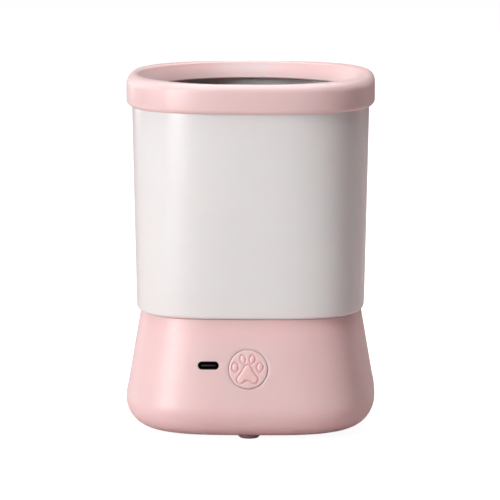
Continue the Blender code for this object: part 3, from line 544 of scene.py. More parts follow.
def gear_teeth(teeth, tooth_at, centre):
    """Outline function of a spur gear with involute flanks, one of its teeth in the direction tooth_at."""
    pressure = math.radians(20)
    addendum, dedendum, thinned, root_flare = 0.74, 1.08, 0.86, 0.10
    pitch = MODULE * teeth / 2
    base = pitch * math.cos(pressure)
    root, tip = pitch - dedendum * MODULE, pitch + addendum * MODULE
    half_tooth = math.pi / 2 / teeth * thinned + math.tan(pressure) - pressure

    def half_angle(radius):
        local = math.acos(min(1, base / radius))
        return half_tooth - (math.tan(local) - local)

    reaches = [root + (tip - root) * step / 5 for step in range(6)]
    flank = [(root, half_angle(root) + root_flare / teeth)]
    flank += [(reach, half_angle(reach)) for reach in reaches]

    def outline(growth):
        points = []
        for round_to in angles_round(teeth):
            facing = tooth_at + round_to
            sides = [(reach, facing - half) for reach, half in flank]
            sides += [(reach, facing + half) for reach, half in reversed(flank)]
            points += [polar(reach + growth, angle, centre) for reach, angle in sides]
        return points
    return outline


# ---- meshes


def boundary(bm):
    return [edge for edge in bm.edges if edge.is_boundary]


def place(bm, matrix):
    bmesh.ops.transform(bm, matrix=matrix, verts=bm.verts)
    return bm


def at(x, y, z=0):
    return Matrix.Translation((x, y, z))


def turned(degrees):
    """A turn about Z."""
    return Matrix.Rotation(math.radians(degrees), 4, "Z")


def turn(profile, steps=SMALL, closed=False):
    """Spins a (half width, height[, corner exponent]) profile about Z, then squares each corner out.

    A closed profile is a wall that joins up with itself; an open one starts and ends on the axis.
    """
    bm = bmesh.new()
    corner = bm.verts.layers.float.new("corner")
    verts = []
    for half, z, *exponent in profile:
        vert = bm.verts.new((half, 0, z))
        vert[corner] = exponent[0] if exponent else 2
        verts.append(vert)
    edges = [bm.edges.new(pair) for pair in zip(verts, verts[1:])]
    if closed:
        edges.append(bm.edges.new((verts[-1], verts[0])))
    bmesh.ops.spin(bm, geom=verts + edges, cent=(0, 0, 0), axis=(0, 0, 1), angle=2 * math.pi, steps=steps,
                   use_merge=True)
    for vert in bm.verts:
        exponent = vert[corner]
        reach = vert.co.xy.length
        if exponent != 2 and reach > 0:
            x, y = abs(vert.co.x) / reach, abs(vert.co.y) / reach
            squared = (x ** exponent + y ** exponent) ** (-1 / exponent)
            vert.co.x *= squared
            vert.co.y *= squared
    bmesh.ops.remove_doubles(bm, verts=bm.verts, dist=WELD)
    return bm


def prism(outline, levels):
    """Lofts an outline function through (height, growth) levels, and caps it."""
    bm = bmesh.new()
    height, growth = levels[0]
    points = outline(growth)
    ring = bmesh.ops.create_circle(bm, segments=len(points), radius=1, cap_ends=True)["verts"]
    for vert, (x, y) in zip(ring, points):
        vert.co = (x, y, height)
    face = bm.faces[:][0]
    for height, growth in levels[1:]:
        fresh = outline(growth)
        face = bmesh.ops.extrude_discrete_faces(bm, faces=[face])["faces"][0]
        for vert in face.verts:
            away = [(x - vert.co.x) ** 2 + (y - vert.co.y) ** 2 for x, y in points]
            vert.co = (*fresh[away.index(min(away))], height)
        points = fresh
    bmesh.ops.holes_fill(bm, edges=boundary(bm), sides=0)
    return bm


def plug(outline, low, high):
    """A straight-sided prism."""
    return prism(outline, [(low, 0), (high, 0)])


def slab(outline, low, high, edge=0.0002):
    """A plate of the outline with eased edges."""
    return prism(outline, [(low, -edge), (low + edge, 0), (high - edge, 0), (high, -edge)])


def block(bm, size, centre=(0, 0, 0)):
    """Adds a box, and gives its vertices."""
    made = bmesh.ops.create_cube(bm, size=1)["verts"]
    bmesh.ops.scale(bm, vec=size, verts=made)
    bmesh.ops.translate(bm, vec=centre, verts=made)
    return made


def solder(bm, radius, centre):
    """Adds a round bead of solder, and gives its vertices."""
    return bmesh.ops.create_uvsphere(bm, u_segments=16, v_segments=10, radius=radius,
                                     matrix=Matrix.Translation(centre))["verts"]


def gather(whole, part, spots=(Matrix(),)):
    """Adds a copy of one bmesh to another at each of the spots, and frees it."""
    mesh = bpy.data.meshes.new("part")
    part.to_mesh(mesh)
    part.free()
    for spot in spots:
        copy = mesh.copy()
        copy.transform(spot)
        whole.from_mesh(copy)
        bpy.data.meshes.remove(copy)
    bpy.data.meshes.remove(mesh)


# ---- pieces


def smooth(mesh, sharp):
    mesh.shade_smooth()
    mesh.set_sharp_from_angle(angle=math.radians(sharp))


def stamp(bm, name, finish=None, sharp=30):
    """An object from a bmesh, welded and with its faces outwards."""
    bmesh.ops.remove_doubles(bm, verts=bm.verts, dist=WELD)
    bmesh.ops.recalc_face_normals(bm, faces=bm.faces)
    mesh = bpy.data.meshes.new(name)
    bm.to_mesh(mesh)
    bm.free()
    smooth(mesh, sharp)
    made = bpy.data.objects.new(name, mesh)
    bpy.context.scene.collection.objects.link(made)
    if finish:
        mesh.materials.append(material(finish))
    return made


def carve(piece, shapes, operation="DIFFERENCE", sharp=30):
    """Cuts the bmeshes out of the piece, or joins them to it."""
    tools = [stamp(bm, "tool") for bm in shapes]
    for tool in tools:
        modifier = piece.modifiers.new("carve", "BOOLEAN")
        modifier.operation = operation
        modifier.object = tool
        modifier.solver = "EXACT"
    bpy.context.view_layer.update()
    graph = bpy.context.evaluated_depsgraph_get()
    mesh = bpy.data.meshes.new_from_object(piece.evaluated_get(graph))
    piece.modifiers.clear()
    piece.data = mesh
    smooth(mesh, sharp)
    for tool in tools:
        bpy.data.objects.remove(tool)
    return piece


def fit(piece, node):
    """The piece rides on its CAD node's body, and is shown in the node's place."""
    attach(piece, NODE_BODY[node])
    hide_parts(node)
    return piece


def add_to_base(piece):
    """A piece that the CAD doesn't have, fixed in the base."""
    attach(piece, "base")


def middle(node):
    low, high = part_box(node)
    return (low.x + high.x) / 2, (low.y + high.y) / 2


def numbered(name, count):
    return [f"{name}_{number}" for number in range(1, count + 1)]


# ---- operators: ring and cup


class WASHER_OT_splash_ring(bpy.types.Operator):
    """Pink ring with a full rounded rim, a skirt over the cup, a funnel inside and its gasket"""

    bl_idname = "washer.splash_ring"
    bl_label = "Splash ring"

    def execute(self, context):
        crest, crown_corner, foot, clear = 0.0034, 2.75, 0.0020, 0.0004
        rows = []
        for half, z in arc((RING_HALF - crest, TOP - crest), crest, 90, 0, 12):
            drop = (TOP - z) / crest
            rows.append((half, z, crown_corner + (RING_CORNER - crown_corner) * math.sqrt(drop)))
        rows += cornered(arc((RING_HALF - foot, RING_LOW + foot), foot, 0, -80, 7), RING_CORNER)
        skirt_in = cup_half(RING_LOW) + clear
        wall_in = CUP_TOP_HALF - CUP_WALL - clear
        channel_top = CUP_TOP + 0.0016
        rows += cornered([(skirt_in + 0.0003, RING_LOW), (skirt_in, RING_LOW + 0.0003),
                          (CUP_TOP_HALF + clear, channel_top), (wall_in, channel_top),
                          (wall_in - 0.0006, LIP_LOW + 0.0007)], RING_CORNER)
        lip, brow = 0.0008, RING_HALF - 0.0036
        funnel = arc((LIP_HALF + lip, LIP_LOW + lip), lip, -90, -170, 5)
        funnel += [(LIP_HALF + 0.0010, 0.1514), (LIP_HALF + 0.0020, 0.1530), (LIP_HALF + 0.0033, 0.1546)]
        funnel += arc((brow, TOP - 0.0016), 0.0012, 155, 100, 5, tall=0.0014)
        rows += cornered(funnel, LIP_CORNER)
        rows += [(brow + 0.0003, TOP - 0.00008, 2.35)]
        piece = stamp(turn(rows, ROUND, closed=True), "splash_ring_moulding", "satin_pink_plastic", 40)
        fit(piece, "splash_ring")
        self.gasket()
        return {"FINISHED"}

    def gasket(self):
        low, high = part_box("ring_gasket")
        width, height = CUP_WALL - 0.0004, high.z - low.z
        bead = arc((high.x - width / 2, low.z + height / 2), width / 2, 0, 330, 11, tall=height / 2)
        bm = turn(cornered(bead, RING_CORNER), ROUND, closed=True)
        fit(stamp(bm, "ring_gasket_bead", "black_seal_rubber"), "ring_gasket")


class WASHER_OT_cup_shell(bpy.types.Operator):
    """White tapered cup with its spigot, floor, coupling hollow and spindle tube"""

    bl_idname = "washer.cup_shell"
    bl_label = "Cup shell"

    def execute(self, context):
        foot, inner_foot, rim = 0.0016, 0.0030, 0.0005
        floor_under, floor_top = 0.0530, 0.0560
        hump, hump_under, hump_top, tube_top = 0.0140, 0.0564, 0.0590, 0.0660
        tube_bore, tube_outer, fillet = 0.0053, 0.0083, 0.0006
        inner_top = CUP_TOP_HALF - CUP_WALL
        rows = cornered(arc((inner_top + rim, CUP_TOP - rim), rim, 180, 90, 3)
                        + arc((CUP_TOP_HALF - rim, CUP_TOP - rim), rim, 90, 0, 3), RING_CORNER)
        levels = [CUP_TOP + (CUP_LOW + foot - CUP_TOP) * step / 8 for step in range(1, 8)]
        rows += [(cup_half(z), z, cup_corner(z)) for z in levels]
        under = arc((CUP_LOW_HALF - foot, CUP_LOW + foot), foot, 0, -90, 8)
        under += [(SPIGOT_HALF + 0.0003, CUP_LOW), (SPIGOT_HALF, CUP_LOW - 0.0003),
                  (SPIGOT_HALF - 0.0002, SPIGOT_LOW + 0.0005), (SPIGOT_HALF - 0.0007, SPIGOT_LOW),
                  (SPIGOT_HALF - 0.0020, SPIGOT_LOW), (SPIGOT_HALF - 0.0022, floor_under)]
        rows += cornered(under, BASE_CORNER)
        rows += cornered([(hump, floor_under), (hump, hump_under), (tube_bore, hump_under),
                          (tube_bore, tube_top), (tube_outer - rim, tube_top), (tube_outer, tube_top - rim),
                          (tube_outer, hump_top + fillet), (tube_outer + fillet, hump_top),
                          (hump + 0.0019, hump_top), (hump + 0.0024, hump_top - rim),
                          (hump + 0.0026, floor_top + fillet), (hump + 0.0032, floor_top)], 2)
        floor_half = cup_half(floor_top) - CUP_WALL
        rows += cornered(arc((floor_half - inner_foot, floor_top + inner_foot), inner_foot, -90, 0, 6),
                         BASE_CORNER)
        rows += [(cup_half(z) - CUP_WALL, z, cup_corner(z)) for z in reversed(levels[:-1])]
        piece = stamp(turn(rows, ROUND, closed=True), "cup_moulding", "glossy_white_plastic", 40)
        fit(piece, "cup_shell")
        return {"FINISHED"}


# ---- operators: brush


def bristle(radius, length):
    """One tapered bristle along +Z, flared at its root and round at its tip."""
    tip = radius * 0.5
    rows = [(0, 0), (radius * 1.5, 0), (radius * 1.1, 0.0007), (radius, 0.0016),
            (radius * 0.75, length * 0.55)]
    return turn(rows + arc((0, length - tip), tip, 10, 60, 2) + [(0, length)], 8)


class WASHER_OT_bristle_sleeve(bpy.types.Operator):
    """Soft sleeve with a rounded rim and staggered rows of tapered bristles"""

    bl_idname = "washer.bristle_sleeve"
    bl_label = "Bristle sleeve"

    def execute(self, context):
        low = DRUM_FLOOR_TOP + 0.0005
        outer = DRUM_BORE - GAP
        inner_rim, lip = 0.0009, 0.0007
        rows = [(outer, low), (SLEEVE_BORE + 0.0003, low), (SLEEVE_BORE, low + 0.0003),
                (SLEEVE_BORE, SLEEVE_TOP - inner_rim)]
        rows += arc((SLEEVE_BORE + inner_rim, SLEEVE_TOP - inner_rim), inner_rim, 165, 90, 5)
        rows += arc((SLEEVE_RIM_RADIUS - lip, SLEEVE_TOP - lip), lip, 90, 0, 5)
        rows += [(SLEEVE_RIM_RADIUS, DRUM_TOP + GAP), (outer, DRUM_TOP + GAP)]
        sleeve = turn(rows, 120, closed=True)
        layout = sizes()
        pitch = (SLEEVE_TOP - 0.0035 - low) / layout.bristle_rows
        root = SLEEVE_BORE + 0.0004
        spots = []
        for row in range(layout.bristle_rows):
            inwards = at(root, 0, low + pitch * (row + 0.5)) @ Matrix.Rotation(-math.pi / 2, 4, "Y")
            for column in range(layout.bristle_columns):
                degrees = 360 * (column + 0.5 * (row % 2)) / layout.bristle_columns
                spots.append(turned(degrees) @ inwards)
        gather(sleeve, bristle(layout.bristle_radius, layout.bristle_length), spots)
        fit(stamp(sleeve, "bristle_sleeve_soft", "slate_silicone"), "bristle_sleeve")
        return {"FINISHED"}


class WASHER_OT_brush_drum(bpy.types.Operator):
    """Drum with round drain slots, and the soft nubbed pad over its hub"""

    bl_idname = "washer.brush_drum"
    bl_label = "Brush drum and pad"

    def execute(self, context):
        hub, hub_top, foot, edge, rim = 0.0072, DRUM_LOW + 0.0096, 0.0018, 0.0006, 0.0003
        rows = [(0, hub_top), (hub - edge, hub_top), (hub, hub_top - edge), (hub, DRUM_FLOOR_TOP + edge),
                (hub + edge, DRUM_FLOOR_TOP), (DRUM_BORE - 0.0012, DRUM_FLOOR_TOP),
                (DRUM_BORE, DRUM_FLOOR_TOP + 0.0004), (DRUM_BORE, DRUM_TOP - rim),
                (DRUM_BORE + rim, DRUM_TOP), (DRUM_RADIUS - rim, DRUM_TOP), (DRUM_RADIUS, DRUM_TOP - rim)]
        rows += arc((DRUM_RADIUS - foot, DRUM_LOW + foot), foot, 0, -90, 6) + [(0, DRUM_LOW)]
        # Half a step round, so that no edge of the drum's mesh runs through the middle of a slot.
        drum = stamp(place(turn(rows, 120), turned(1.5)), "brush_drum_moulding", "charcoal_plastic")
        below = DRUM_LOW - PAST
        cuts = [plug(disc(0.0050, 6), below, hub_top - 0.0018)]
        for number in range(12):
            drain = plug(stadium((0.0325, 0), 0.0090, 0.0040), below, DRUM_FLOOR_TOP + PAST)
            cuts.append(place(drain, turned(30 * number)))
        fit(carve(drum, cuts), "brush_drum")
        self.pad()
        return {"FINISHED"}

    def pad(self):
        low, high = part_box("floor_pad")
        radius, bore, roof, edge = high.x, 0.0075, low.z + 0.0071, 0.0012
        dome, dome_radius, skirt_from = 0.0050, 0.0150, 0.0139
        spring = high.z - dome
        rows = arc((0.0, spring), dome_radius, 90, 22, 8, tall=dome)
        rows += arc((radius - edge, low.z + 0.0024), edge, 80, 0, 5)
        rows += [(radius, low.z), (bore, low.z), (bore, roof), (0, roof)]
        spots = []
        for count, reach in ((1, 0.0), (6, 0.0058), (12, 0.0112), (18, 0.0170)):
            if reach < skirt_from:
                height = spring + dome * math.sqrt(1 - (reach / dome_radius) ** 2)
            else:
                height = spring + 0.0019 - (reach - skirt_from) * 0.30
            spots += [at(*polar(reach, angle), height - 0.0004) for angle in angles_round(count)]
        bm = turn(rows, 72)
        gather(bm, bristle(0.0009, 0.0042), spots)
        fit(stamp(bm, "floor_pad_soft", "slate_silicone"), "floor_pad")


class WASHER_OT_coupling(bpy.types.Operator):
    """Star coupling, spindle and deck seal, which show when the cup is lifted off"""

    bl_idname = "washer.coupling"
    bl_label = "Coupling, spindle and seals"

    def execute(self, context):
        self.dogs()
        self.spindle()
        self.seals()
        return {"FINISHED"}

    def dogs(self):
        low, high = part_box("drive_dog")
        chamfer, nose = 0.0004, 0.0010
        dog = prism(star(DOG_RADIUS), [(low.z, -chamfer), (low.z + chamfer, 0), (high.z - nose, 0),
                                       (high.z, -nose)])
        fit(stamp(dog, "drive_dog_star", "charcoal_plastic", 25), "drive_dog")
        low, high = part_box("driven_dog")
        hub = slab(disc(high.x, 96), low.z, high.z, chamfer)
        mouth = prism(star(DOG_RADIUS + 0.0004), [(low.z - PAST, 0.0012), (low.z + 0.0006, 0),
                                                  (high.z + PAST, 0)])
        hub = carve(stamp(hub, "driven_dog_socket", "charcoal_plastic"), [mouth], sharp=25)
        fit(hub, "driven_dog")

    def spindle(self):
        low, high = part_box("brush_spindle")
        radius, flange, thick, edge, shoulder = 0.0030, high.x, 0.0010, 0.0003, 0.0706
        rows = [(0, shoulder), (radius, shoulder), (radius, low.z + thick), (flange - edge, low.z + thick),
                (flange, low.z + thick - edge), (flange, low.z + edge), (flange - edge, low.z), (0, low.z)]
        hexagon = prism(disc(0.0046, 6), [(shoulder - 0.0005, -edge), (shoulder - 0.0002, 0),
                                          (high.z - 0.0006, 0), (high.z, -0.0007)])
        shaft = stamp(turn(rows), "brush_spindle_turned", "turned_steel")
        fit(carve(shaft, [hexagon], "UNION"), "brush_spindle")

    def seals(self):
        low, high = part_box("deck_seal")
        bore, collar, reach, sunk = 0.0035, 0.0090, high.x, high.z - 0.0004
        rows = [(bore, sunk), (bore + 0.0006, high.z), (0.0062, high.z), (0.0066, sunk), (0.0080, sunk),
                (0.0084, high.z), (reach - 0.0006, high.z), (reach, high.z - 0.0005),
                (reach, DECK_TOP + GAP), (collar, DECK_TOP + GAP), (collar, low.z), (bore, low.z)]
        fit(stamp(turn(rows, 72, closed=True), "deck_seal_lip", "black_seal_rubber"), "deck_seal")
        low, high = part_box("spindle_seal")
        bore, edge = 0.0033, 0.0005
        rows = arc((0.0042, high.z - edge), 0.0006, 90, 0, 4, tall=edge) + [(0.0056, low.z + 0.0014)]
        rows += arc((high.x - edge, low.z + edge), edge, 90, 0, 4)
        rows += [(high.x, low.z), (bore, low.z), (bore, high.z - 0.0003), (bore + 0.0004, high.z)]
        fit(stamp(turn(rows, closed=True), "spindle_seal_lip", "black_seal_rubber"), "spindle_seal")


# ---- operators: base


class WASHER_OT_base_housing(bpy.types.Operator):
    """Flared pink housing with its sunk deck, its screw bosses, its button hole and its port slot"""

    bl_idname = "washer.base_housing"
    bl_label = "Base housing"

    def execute(self, context):
        rim, seat_edge, edge = 0.0006, 0.0003, 0.0003
        wide, foot = BASE_WIDE_HALF - BASE_FLAT_HALF, BASE_WIDE_Z - BASE_LOW
        rows = arc((SEAT_HALF + seat_edge, BASE_RIM - seat_edge), seat_edge, 180, 90, 3)
        rows += arc((BASE_RIM_HALF - rim, BASE_RIM - rim), rim, 90, 0, 5)
        wall_top, wall_low = BASE_RIM - rim, BASE_WIDE_Z + 0.0022
        for step in range(1, 10):
            z = wall_top + (wall_low - wall_top) * step / 10
            rows.append((base_half(z), z))
        rows += arc((BASE_FLAT_HALF, BASE_WIDE_Z), wide, 9, -84, 20, tall=foot)
        opening = COVER_HALF + GAP
        rows += [(opening + edge, BASE_LOW), (opening, BASE_LOW + edge), (opening, COVER_TOP + 0.0010)]
        rows += arc((BASE_FLAT_HALF, BASE_WIDE_Z), wide - WALL, -70, 8, 8, tall=foot - WALL)
        rows += [(base_half(DECK_UNDER) - WALL, DECK_UNDER)]
        rows = cornered(rows, BASE_CORNER)
        collar, collar_low, bore = 0.0120, 0.0428, 0.0093
        rows += cornered([(collar, DECK_UNDER), (collar, collar_low), (bore, collar_low),
                          (bore, DECK_TOP)], 2)
        rows += cornered([(SEAT_HALF - 0.0012, DECK_TOP), (SEAT_HALF - 0.0004, DECK_TOP + 0.0004),
                          (SEAT_HALF, DECK_TOP + 0.0012)], BASE_CORNER)
        piece = stamp(turn(rows, ROUND, closed=True), "base_housing_moulding", "satin_pink_plastic", 40)
        carve(piece, self.bosses(), "UNION")
        carve(piece, self.openings(), sharp=40)
        fit(piece, "base_housing")
        return {"FINISHED"}

    def bosses(self):
        """Screw bosses under the deck and on the inside of the front wall, each with a blind bore."""
        root = DECK_UNDER + 0.0012
        tray_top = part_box("gear_tray")[1].z + GAP
        made = [self.boss(at(*spot), 0.0035, COVER_TOP + GAP, root, 0.0015, 0.0140) for spot in COVER_SCREWS]
        for node in numbered("tray_screw", 4):
            made.append(self.boss(at(*middle(node)), 0.0030, tray_top, root, 0.0013, 0.0390))
        made.append(self.boss(at(*IDLER), 0.0036, 0.0432, root, AXLE_BORE, 0.0448))
        for x, y in BOARD_SCREWS:
            inwards = WALL_FRAME @ at(x, y)
            made.append(self.boss(inwards, 0.0025, -BOARD_FRONT + GAP, -WALL + 0.0008, 0.0012, -0.0040))
        return made

    def boss(self, where, radius, low, high, bore, bore_end):
        """A post from low to high, with a blind bore from its low end to bore_end."""
        edge = 0.0002
        rows = [(0, bore_end), (bore, bore_end), (bore, low + edge), (bore + edge, low),
                (radius - edge, low), (radius, low + edge), (radius, high), (0, high)]
        return place(turn(rows, 36), where)

    def openings(self):
        lip = sizes().seam_lip
        flare = [(-0.0060, 0), (-lip, 0), (-lip * 0.45, lip * 0.25), (0, lip), (0.0030, lip * 2.5)]
        button = disc(BUTTON_RADIUS + 0.0001, 96)
        port = stadium((PORT_X, PORT_Y), PORT_WIDTH, PORT_HEIGHT, 14)
        return [place(prism(outline, flare), WALL_FRAME) for outline in (button, port)]


class WASHER_OT_base_cover(bpy.types.Operator):
    """Underside with counterbored screw holes, and the rubber feet"""

    bl_idname = "washer.base_cover"
    bl_label = "Base cover and feet"

    def execute(self, context):
        edge, groove = 0.0003, 0.0330
        grooved = BASE_LOW + edge
        rows = [(0, COVER_TOP), (COVER_HALF, COVER_TOP), (COVER_HALF, grooved), (COVER_HALF - edge, BASE_LOW),
                (groove + 0.0006, BASE_LOW), (groove + 0.0003, grooved), (groove - 0.0003, grooved),
                (groove - 0.0006, BASE_LOW), (0, BASE_LOW)]
        cover = stamp(turn(cornered(rows, BASE_CORNER), ROUND), "base_cover_moulding", "satin_pink_plastic")
        below, above, seat, sink = -PAST, 0.006, BASE_LOW + 0.0014, 0.0014
        bores = [(below, sink + 0.0002), (BASE_LOW - 0.0001, sink + 0.0002), (grooved, sink), (seat, sink),
                 (seat + 0.00001, 0), (above, 0)]
        cuts = [prism(disc(0.0017, 32, spot), bores) for spot in COVER_SCREWS]
        cuts += [plug(disc(0.0021, 32, spot), below, above) for spot in FEET.values()]
        fit(carve(cover, cuts), "base_cover")
        self.feet()
        return {"FINISHED"}

    def feet(self):
        under, barb, neck, edge = BASE_LOW - GAP, COVER_TOP + GAP, 0.0018, 0.0005
        rows = [(0, barb + 0.0022), (0.0008, barb + 0.0022), (0.0012, barb + 0.0019), (0.0027, barb),
                (neck, barb), (neck, under), (0.0051, under), (0.0052, under - 0.0003), (0.0045, edge)]
        rows += arc((0.0038, edge), edge, -10, -90, 4)
        rows += [(0.0030, 0.0), (0.0026, 0.0003), (0, 0.0003)]
        for side, spot in FEET.items():
            bm = place(turn(rows, 40), at(*spot))
            fit(stamp(bm, f"foot_{side}_rubber", "dusky_foot_rubber"), f"foot_{side}")


class WASHER_OT_screws(bpy.types.Operator):
    """Round-headed cross screws in the cover, the tray, the board and the motor"""

    bl_idname = "washer.screws"
    bl_label = "Screws"

    def execute(self, context):
        for node in numbered("cover_screw", 4):
            self.upright(node, head=0.0027, tall=0.0009, shank=0.0012)
        for node in numbered("tray_screw", 4):
            self.upright(node, head=0.0021, tall=0.0012, shank=0.0010)
        for node in numbered("motor_screw", 2):
            self.upright(node, over=True, head=0.0019, tall=0.0009, shank=0.0009)
        head_top, tip = BOARD_BACK + GAP + 0.0011, 0.0048
        for node, (x, y) in zip(numbered("board_screw", 2), BOARD_SCREWS):
            outwards = WALL_FRAME @ at(x, y, -head_top)
            self.screw(node, outwards, head_top - tip, head=0.0020, tall=0.0011, shank=0.0009)
        return {"FINISHED"}

    def upright(self, node, over=False, **shape):
        """A screw with its head below, or over."""
        low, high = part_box(node)
        where = at(*middle(node), low.z)
        if over:
            where = at(*middle(node), high.z) @ Matrix.Rotation(math.pi, 4, "X")
        self.screw(node, where, high.z - low.z, **shape)

    def screw(self, node, where, length, head, tall, shank):
        """A screw along Z, its head down, with a cross recess in the head."""
        crown = 0.0004
        rows = [(0, length), (shank * 0.5, length), (shank, length - 0.0008), (shank, tall), (head, tall)]
        rows += arc((head - crown, crown), crown, 0, -90, 4) + [(0, 0)]
        piece = stamp(turn(rows, 32), f"{node}_cross", "turned_steel")
        recess = []
        for degrees in (45, 135):
            bm = bmesh.new()
            block(bm, (head * 1.15, head * 0.3, 0.0012))
            recess.append(place(bm, turned(degrees)))
        carve(piece, recess)
        piece.data.transform(where)
        fit(piece, node)


# ---- operators: button and port


def pads():
    """Toes as (centre, half sizes, tilt), and the heel's bars as pairs of (centre, radius)."""
    toes, heel = [], []
    apex, palm = ((-0.00022, 0.00030), 0.00115), ((-0.00022, -0.00265), 0.00225)
    for side in (-1, 1):
        toes.append(((side * 0.00205 - 0.00025, 0.00440), (0.00128, 0.00196), math.radians(-11 * side)))
        toes.append(((side * 0.00540 - 0.00025, 0.00090), (0.00142, 0.00212), math.radians(-5 * side)))
        heel.append((apex, ((side * 0.00292 - 0.00022, -0.00432), 0.00182)))
    return toes, [(apex, palm)] + heel


def toe_distance(x, y, toe):
    """Distance from an almond, the overlap of two circles with its tips rounded."""
    (cx, cy), (half_width, half_height), tilt = toe
    tip = 0.00045
    dx, dy = x - cx, y - cy
    u = abs(dx * math.cos(tilt) + dy * math.sin(tilt))
    v = -dx * math.sin(tilt) + dy * math.cos(tilt)
    width, height = half_width - tip, half_height - tip
    radius = (width * width + height * height) / (2 * width)
    return math.hypot(u + radius - width, v) - radius - tip


def heel_distance(x, y, bars):
    """Smooth union of bars that taper from one end circle to the other."""
    blend = 0.0005
    total = 0
    for ((ax, ay), start), ((bx, by), end) in bars:
        along = ((x - ax) * (bx - ax) + (y - ay) * (by - ay)) / ((bx - ax) ** 2 + (by - ay) ** 2)
        along = min(1, max(0, along))
        away = math.hypot(x - ax - along * (bx - ax), y - ay - along * (by - ay))
        total += math.exp((start + (end - start) * along - away) / blend)
    return -math.log(max(total, 1e-12)) * blend


def ease(value):
    value = min(1, max(0, value))
    return value * value * (3 - 2 * value)


class WASHER_OT_power_button(bpy.types.Operator):
    """Round button, a little domed, with a paw drawn by grooves round soft pads"""

    bl_idname = "washer.power_button"
    bl_label = "Power button"

    def execute(self, context):
        segments = 150
        bm = bmesh.new()
        bmesh.ops.create_grid(bm, x_segments=segments, y_segments=segments, size=1)
        toes, heel = pads()
        for vert in bm.verts:
            u, v = vert.co.x, vert.co.y
            x = BUTTON_RADIUS * u * math.sqrt(1 - v * v / 2)
            y = BUTTON_RADIUS * v * math.sqrt(1 - u * u / 2)
            vert.co = (x, y, self.height(x, y, toes, heel))
        flange, front, back = 0.0100, -0.0027, -0.0039
        for reach, depth in ((BUTTON_RADIUS, front), (flange, front), (flange, back)):
            made = bmesh.ops.extrude_edge_only(bm, edges=boundary(bm))["geom"]
            for vert in (item for item in made if isinstance(item, bmesh.types.BMVert)):
                vert.co *= reach / vert.co.xy.length
                vert.co.z = depth
        bmesh.ops.holes_fill(bm, edges=boundary(bm), sides=0)
        fit(stamp(place(bm, WALL_FRAME), "power_button_cap", "satin_pink_plastic", 50), "power_button")
        return {"FINISHED"}

    def height(self, x, y, toes, heel):
        edge, dome, proud = 0.00085, 0.00020, 0.00034
        groove_half, pad_ease = 0.00050, 0.00100
        reach = math.hypot(x, y)
        fall = 1 - min(1, (BUTTON_RADIUS - reach) / edge)
        surface = proud + dome * (1 - (reach / BUTTON_RADIUS) ** 2)
        surface -= edge * (1 - math.sqrt(max(0, 1 - fall * fall)))
        distance = min([toe_distance(x, y, toe) for toe in toes] + [heel_distance(x, y, heel)])
        surface -= sizes().paw_groove * ease(1 - abs(distance) / groove_half)
        return surface + sizes().paw_relief * ease(-distance / pad_ease)


class WASHER_OT_charging_port(bpy.types.Operator):
    """Receptacle shell, its tongue and the contacts on both faces of the tongue"""

    bl_idname = "washer.charging_port"
    bl_label = "Charging port"

    def execute(self, context):
        front, back, skin, end_wall = -0.0009, -0.0087, 0.0003, 0.0010
        outline = stadium((PORT_X, PORT_Y), PORT_WIDTH - 2 * GAP, PORT_HEIGHT - 2 * GAP, 14)
        shell = place(prism(outline, [(back, 0), (front - 0.0001, 0), (front, -0.0001)]), WALL_FRAME)
        mouth = place(prism(outline, [(back + end_wall, -skin), (front - 0.0002, -skin),
                                      (front + PAST, 0.0002)]), WALL_FRAME)
        fit(carve(stamp(shell, "port_shell", "black_plated_steel"), [mouth]), "usb_shell")
        self.tongue(front - 0.0010, back + end_wall + GAP)
        return {"FINISHED"}

    def tongue(self, front, back):
        length = front - back
        bm = bmesh.new()
        block(bm, (0.0064, 0.0007, length), (PORT_X, PORT_Y, back + length / 2))
        bmesh.ops.bevel(bm, geom=bm.edges[:], offset=0.00018, offset_type="OFFSET", affect="EDGES",
                        segments=3, profile=0.5, material=-1)
        fit(stamp(place(bm, WALL_FRAME), "port_tongue", "charcoal_plastic"), "usb_tongue")
        pins = bmesh.new()
        for side in (-1, 1):
            for number in range(12):
                block(pins, (0.00026, 0.00008, length * 0.72),
                      (PORT_X + (number - 5.5) * 0.0005, PORT_Y + side * 0.00036, back + length * 0.48))
        add_to_base(stamp(place(pins, WALL_FRAME), "port_contacts", "gold_contacts"))


# ---- operators: drive


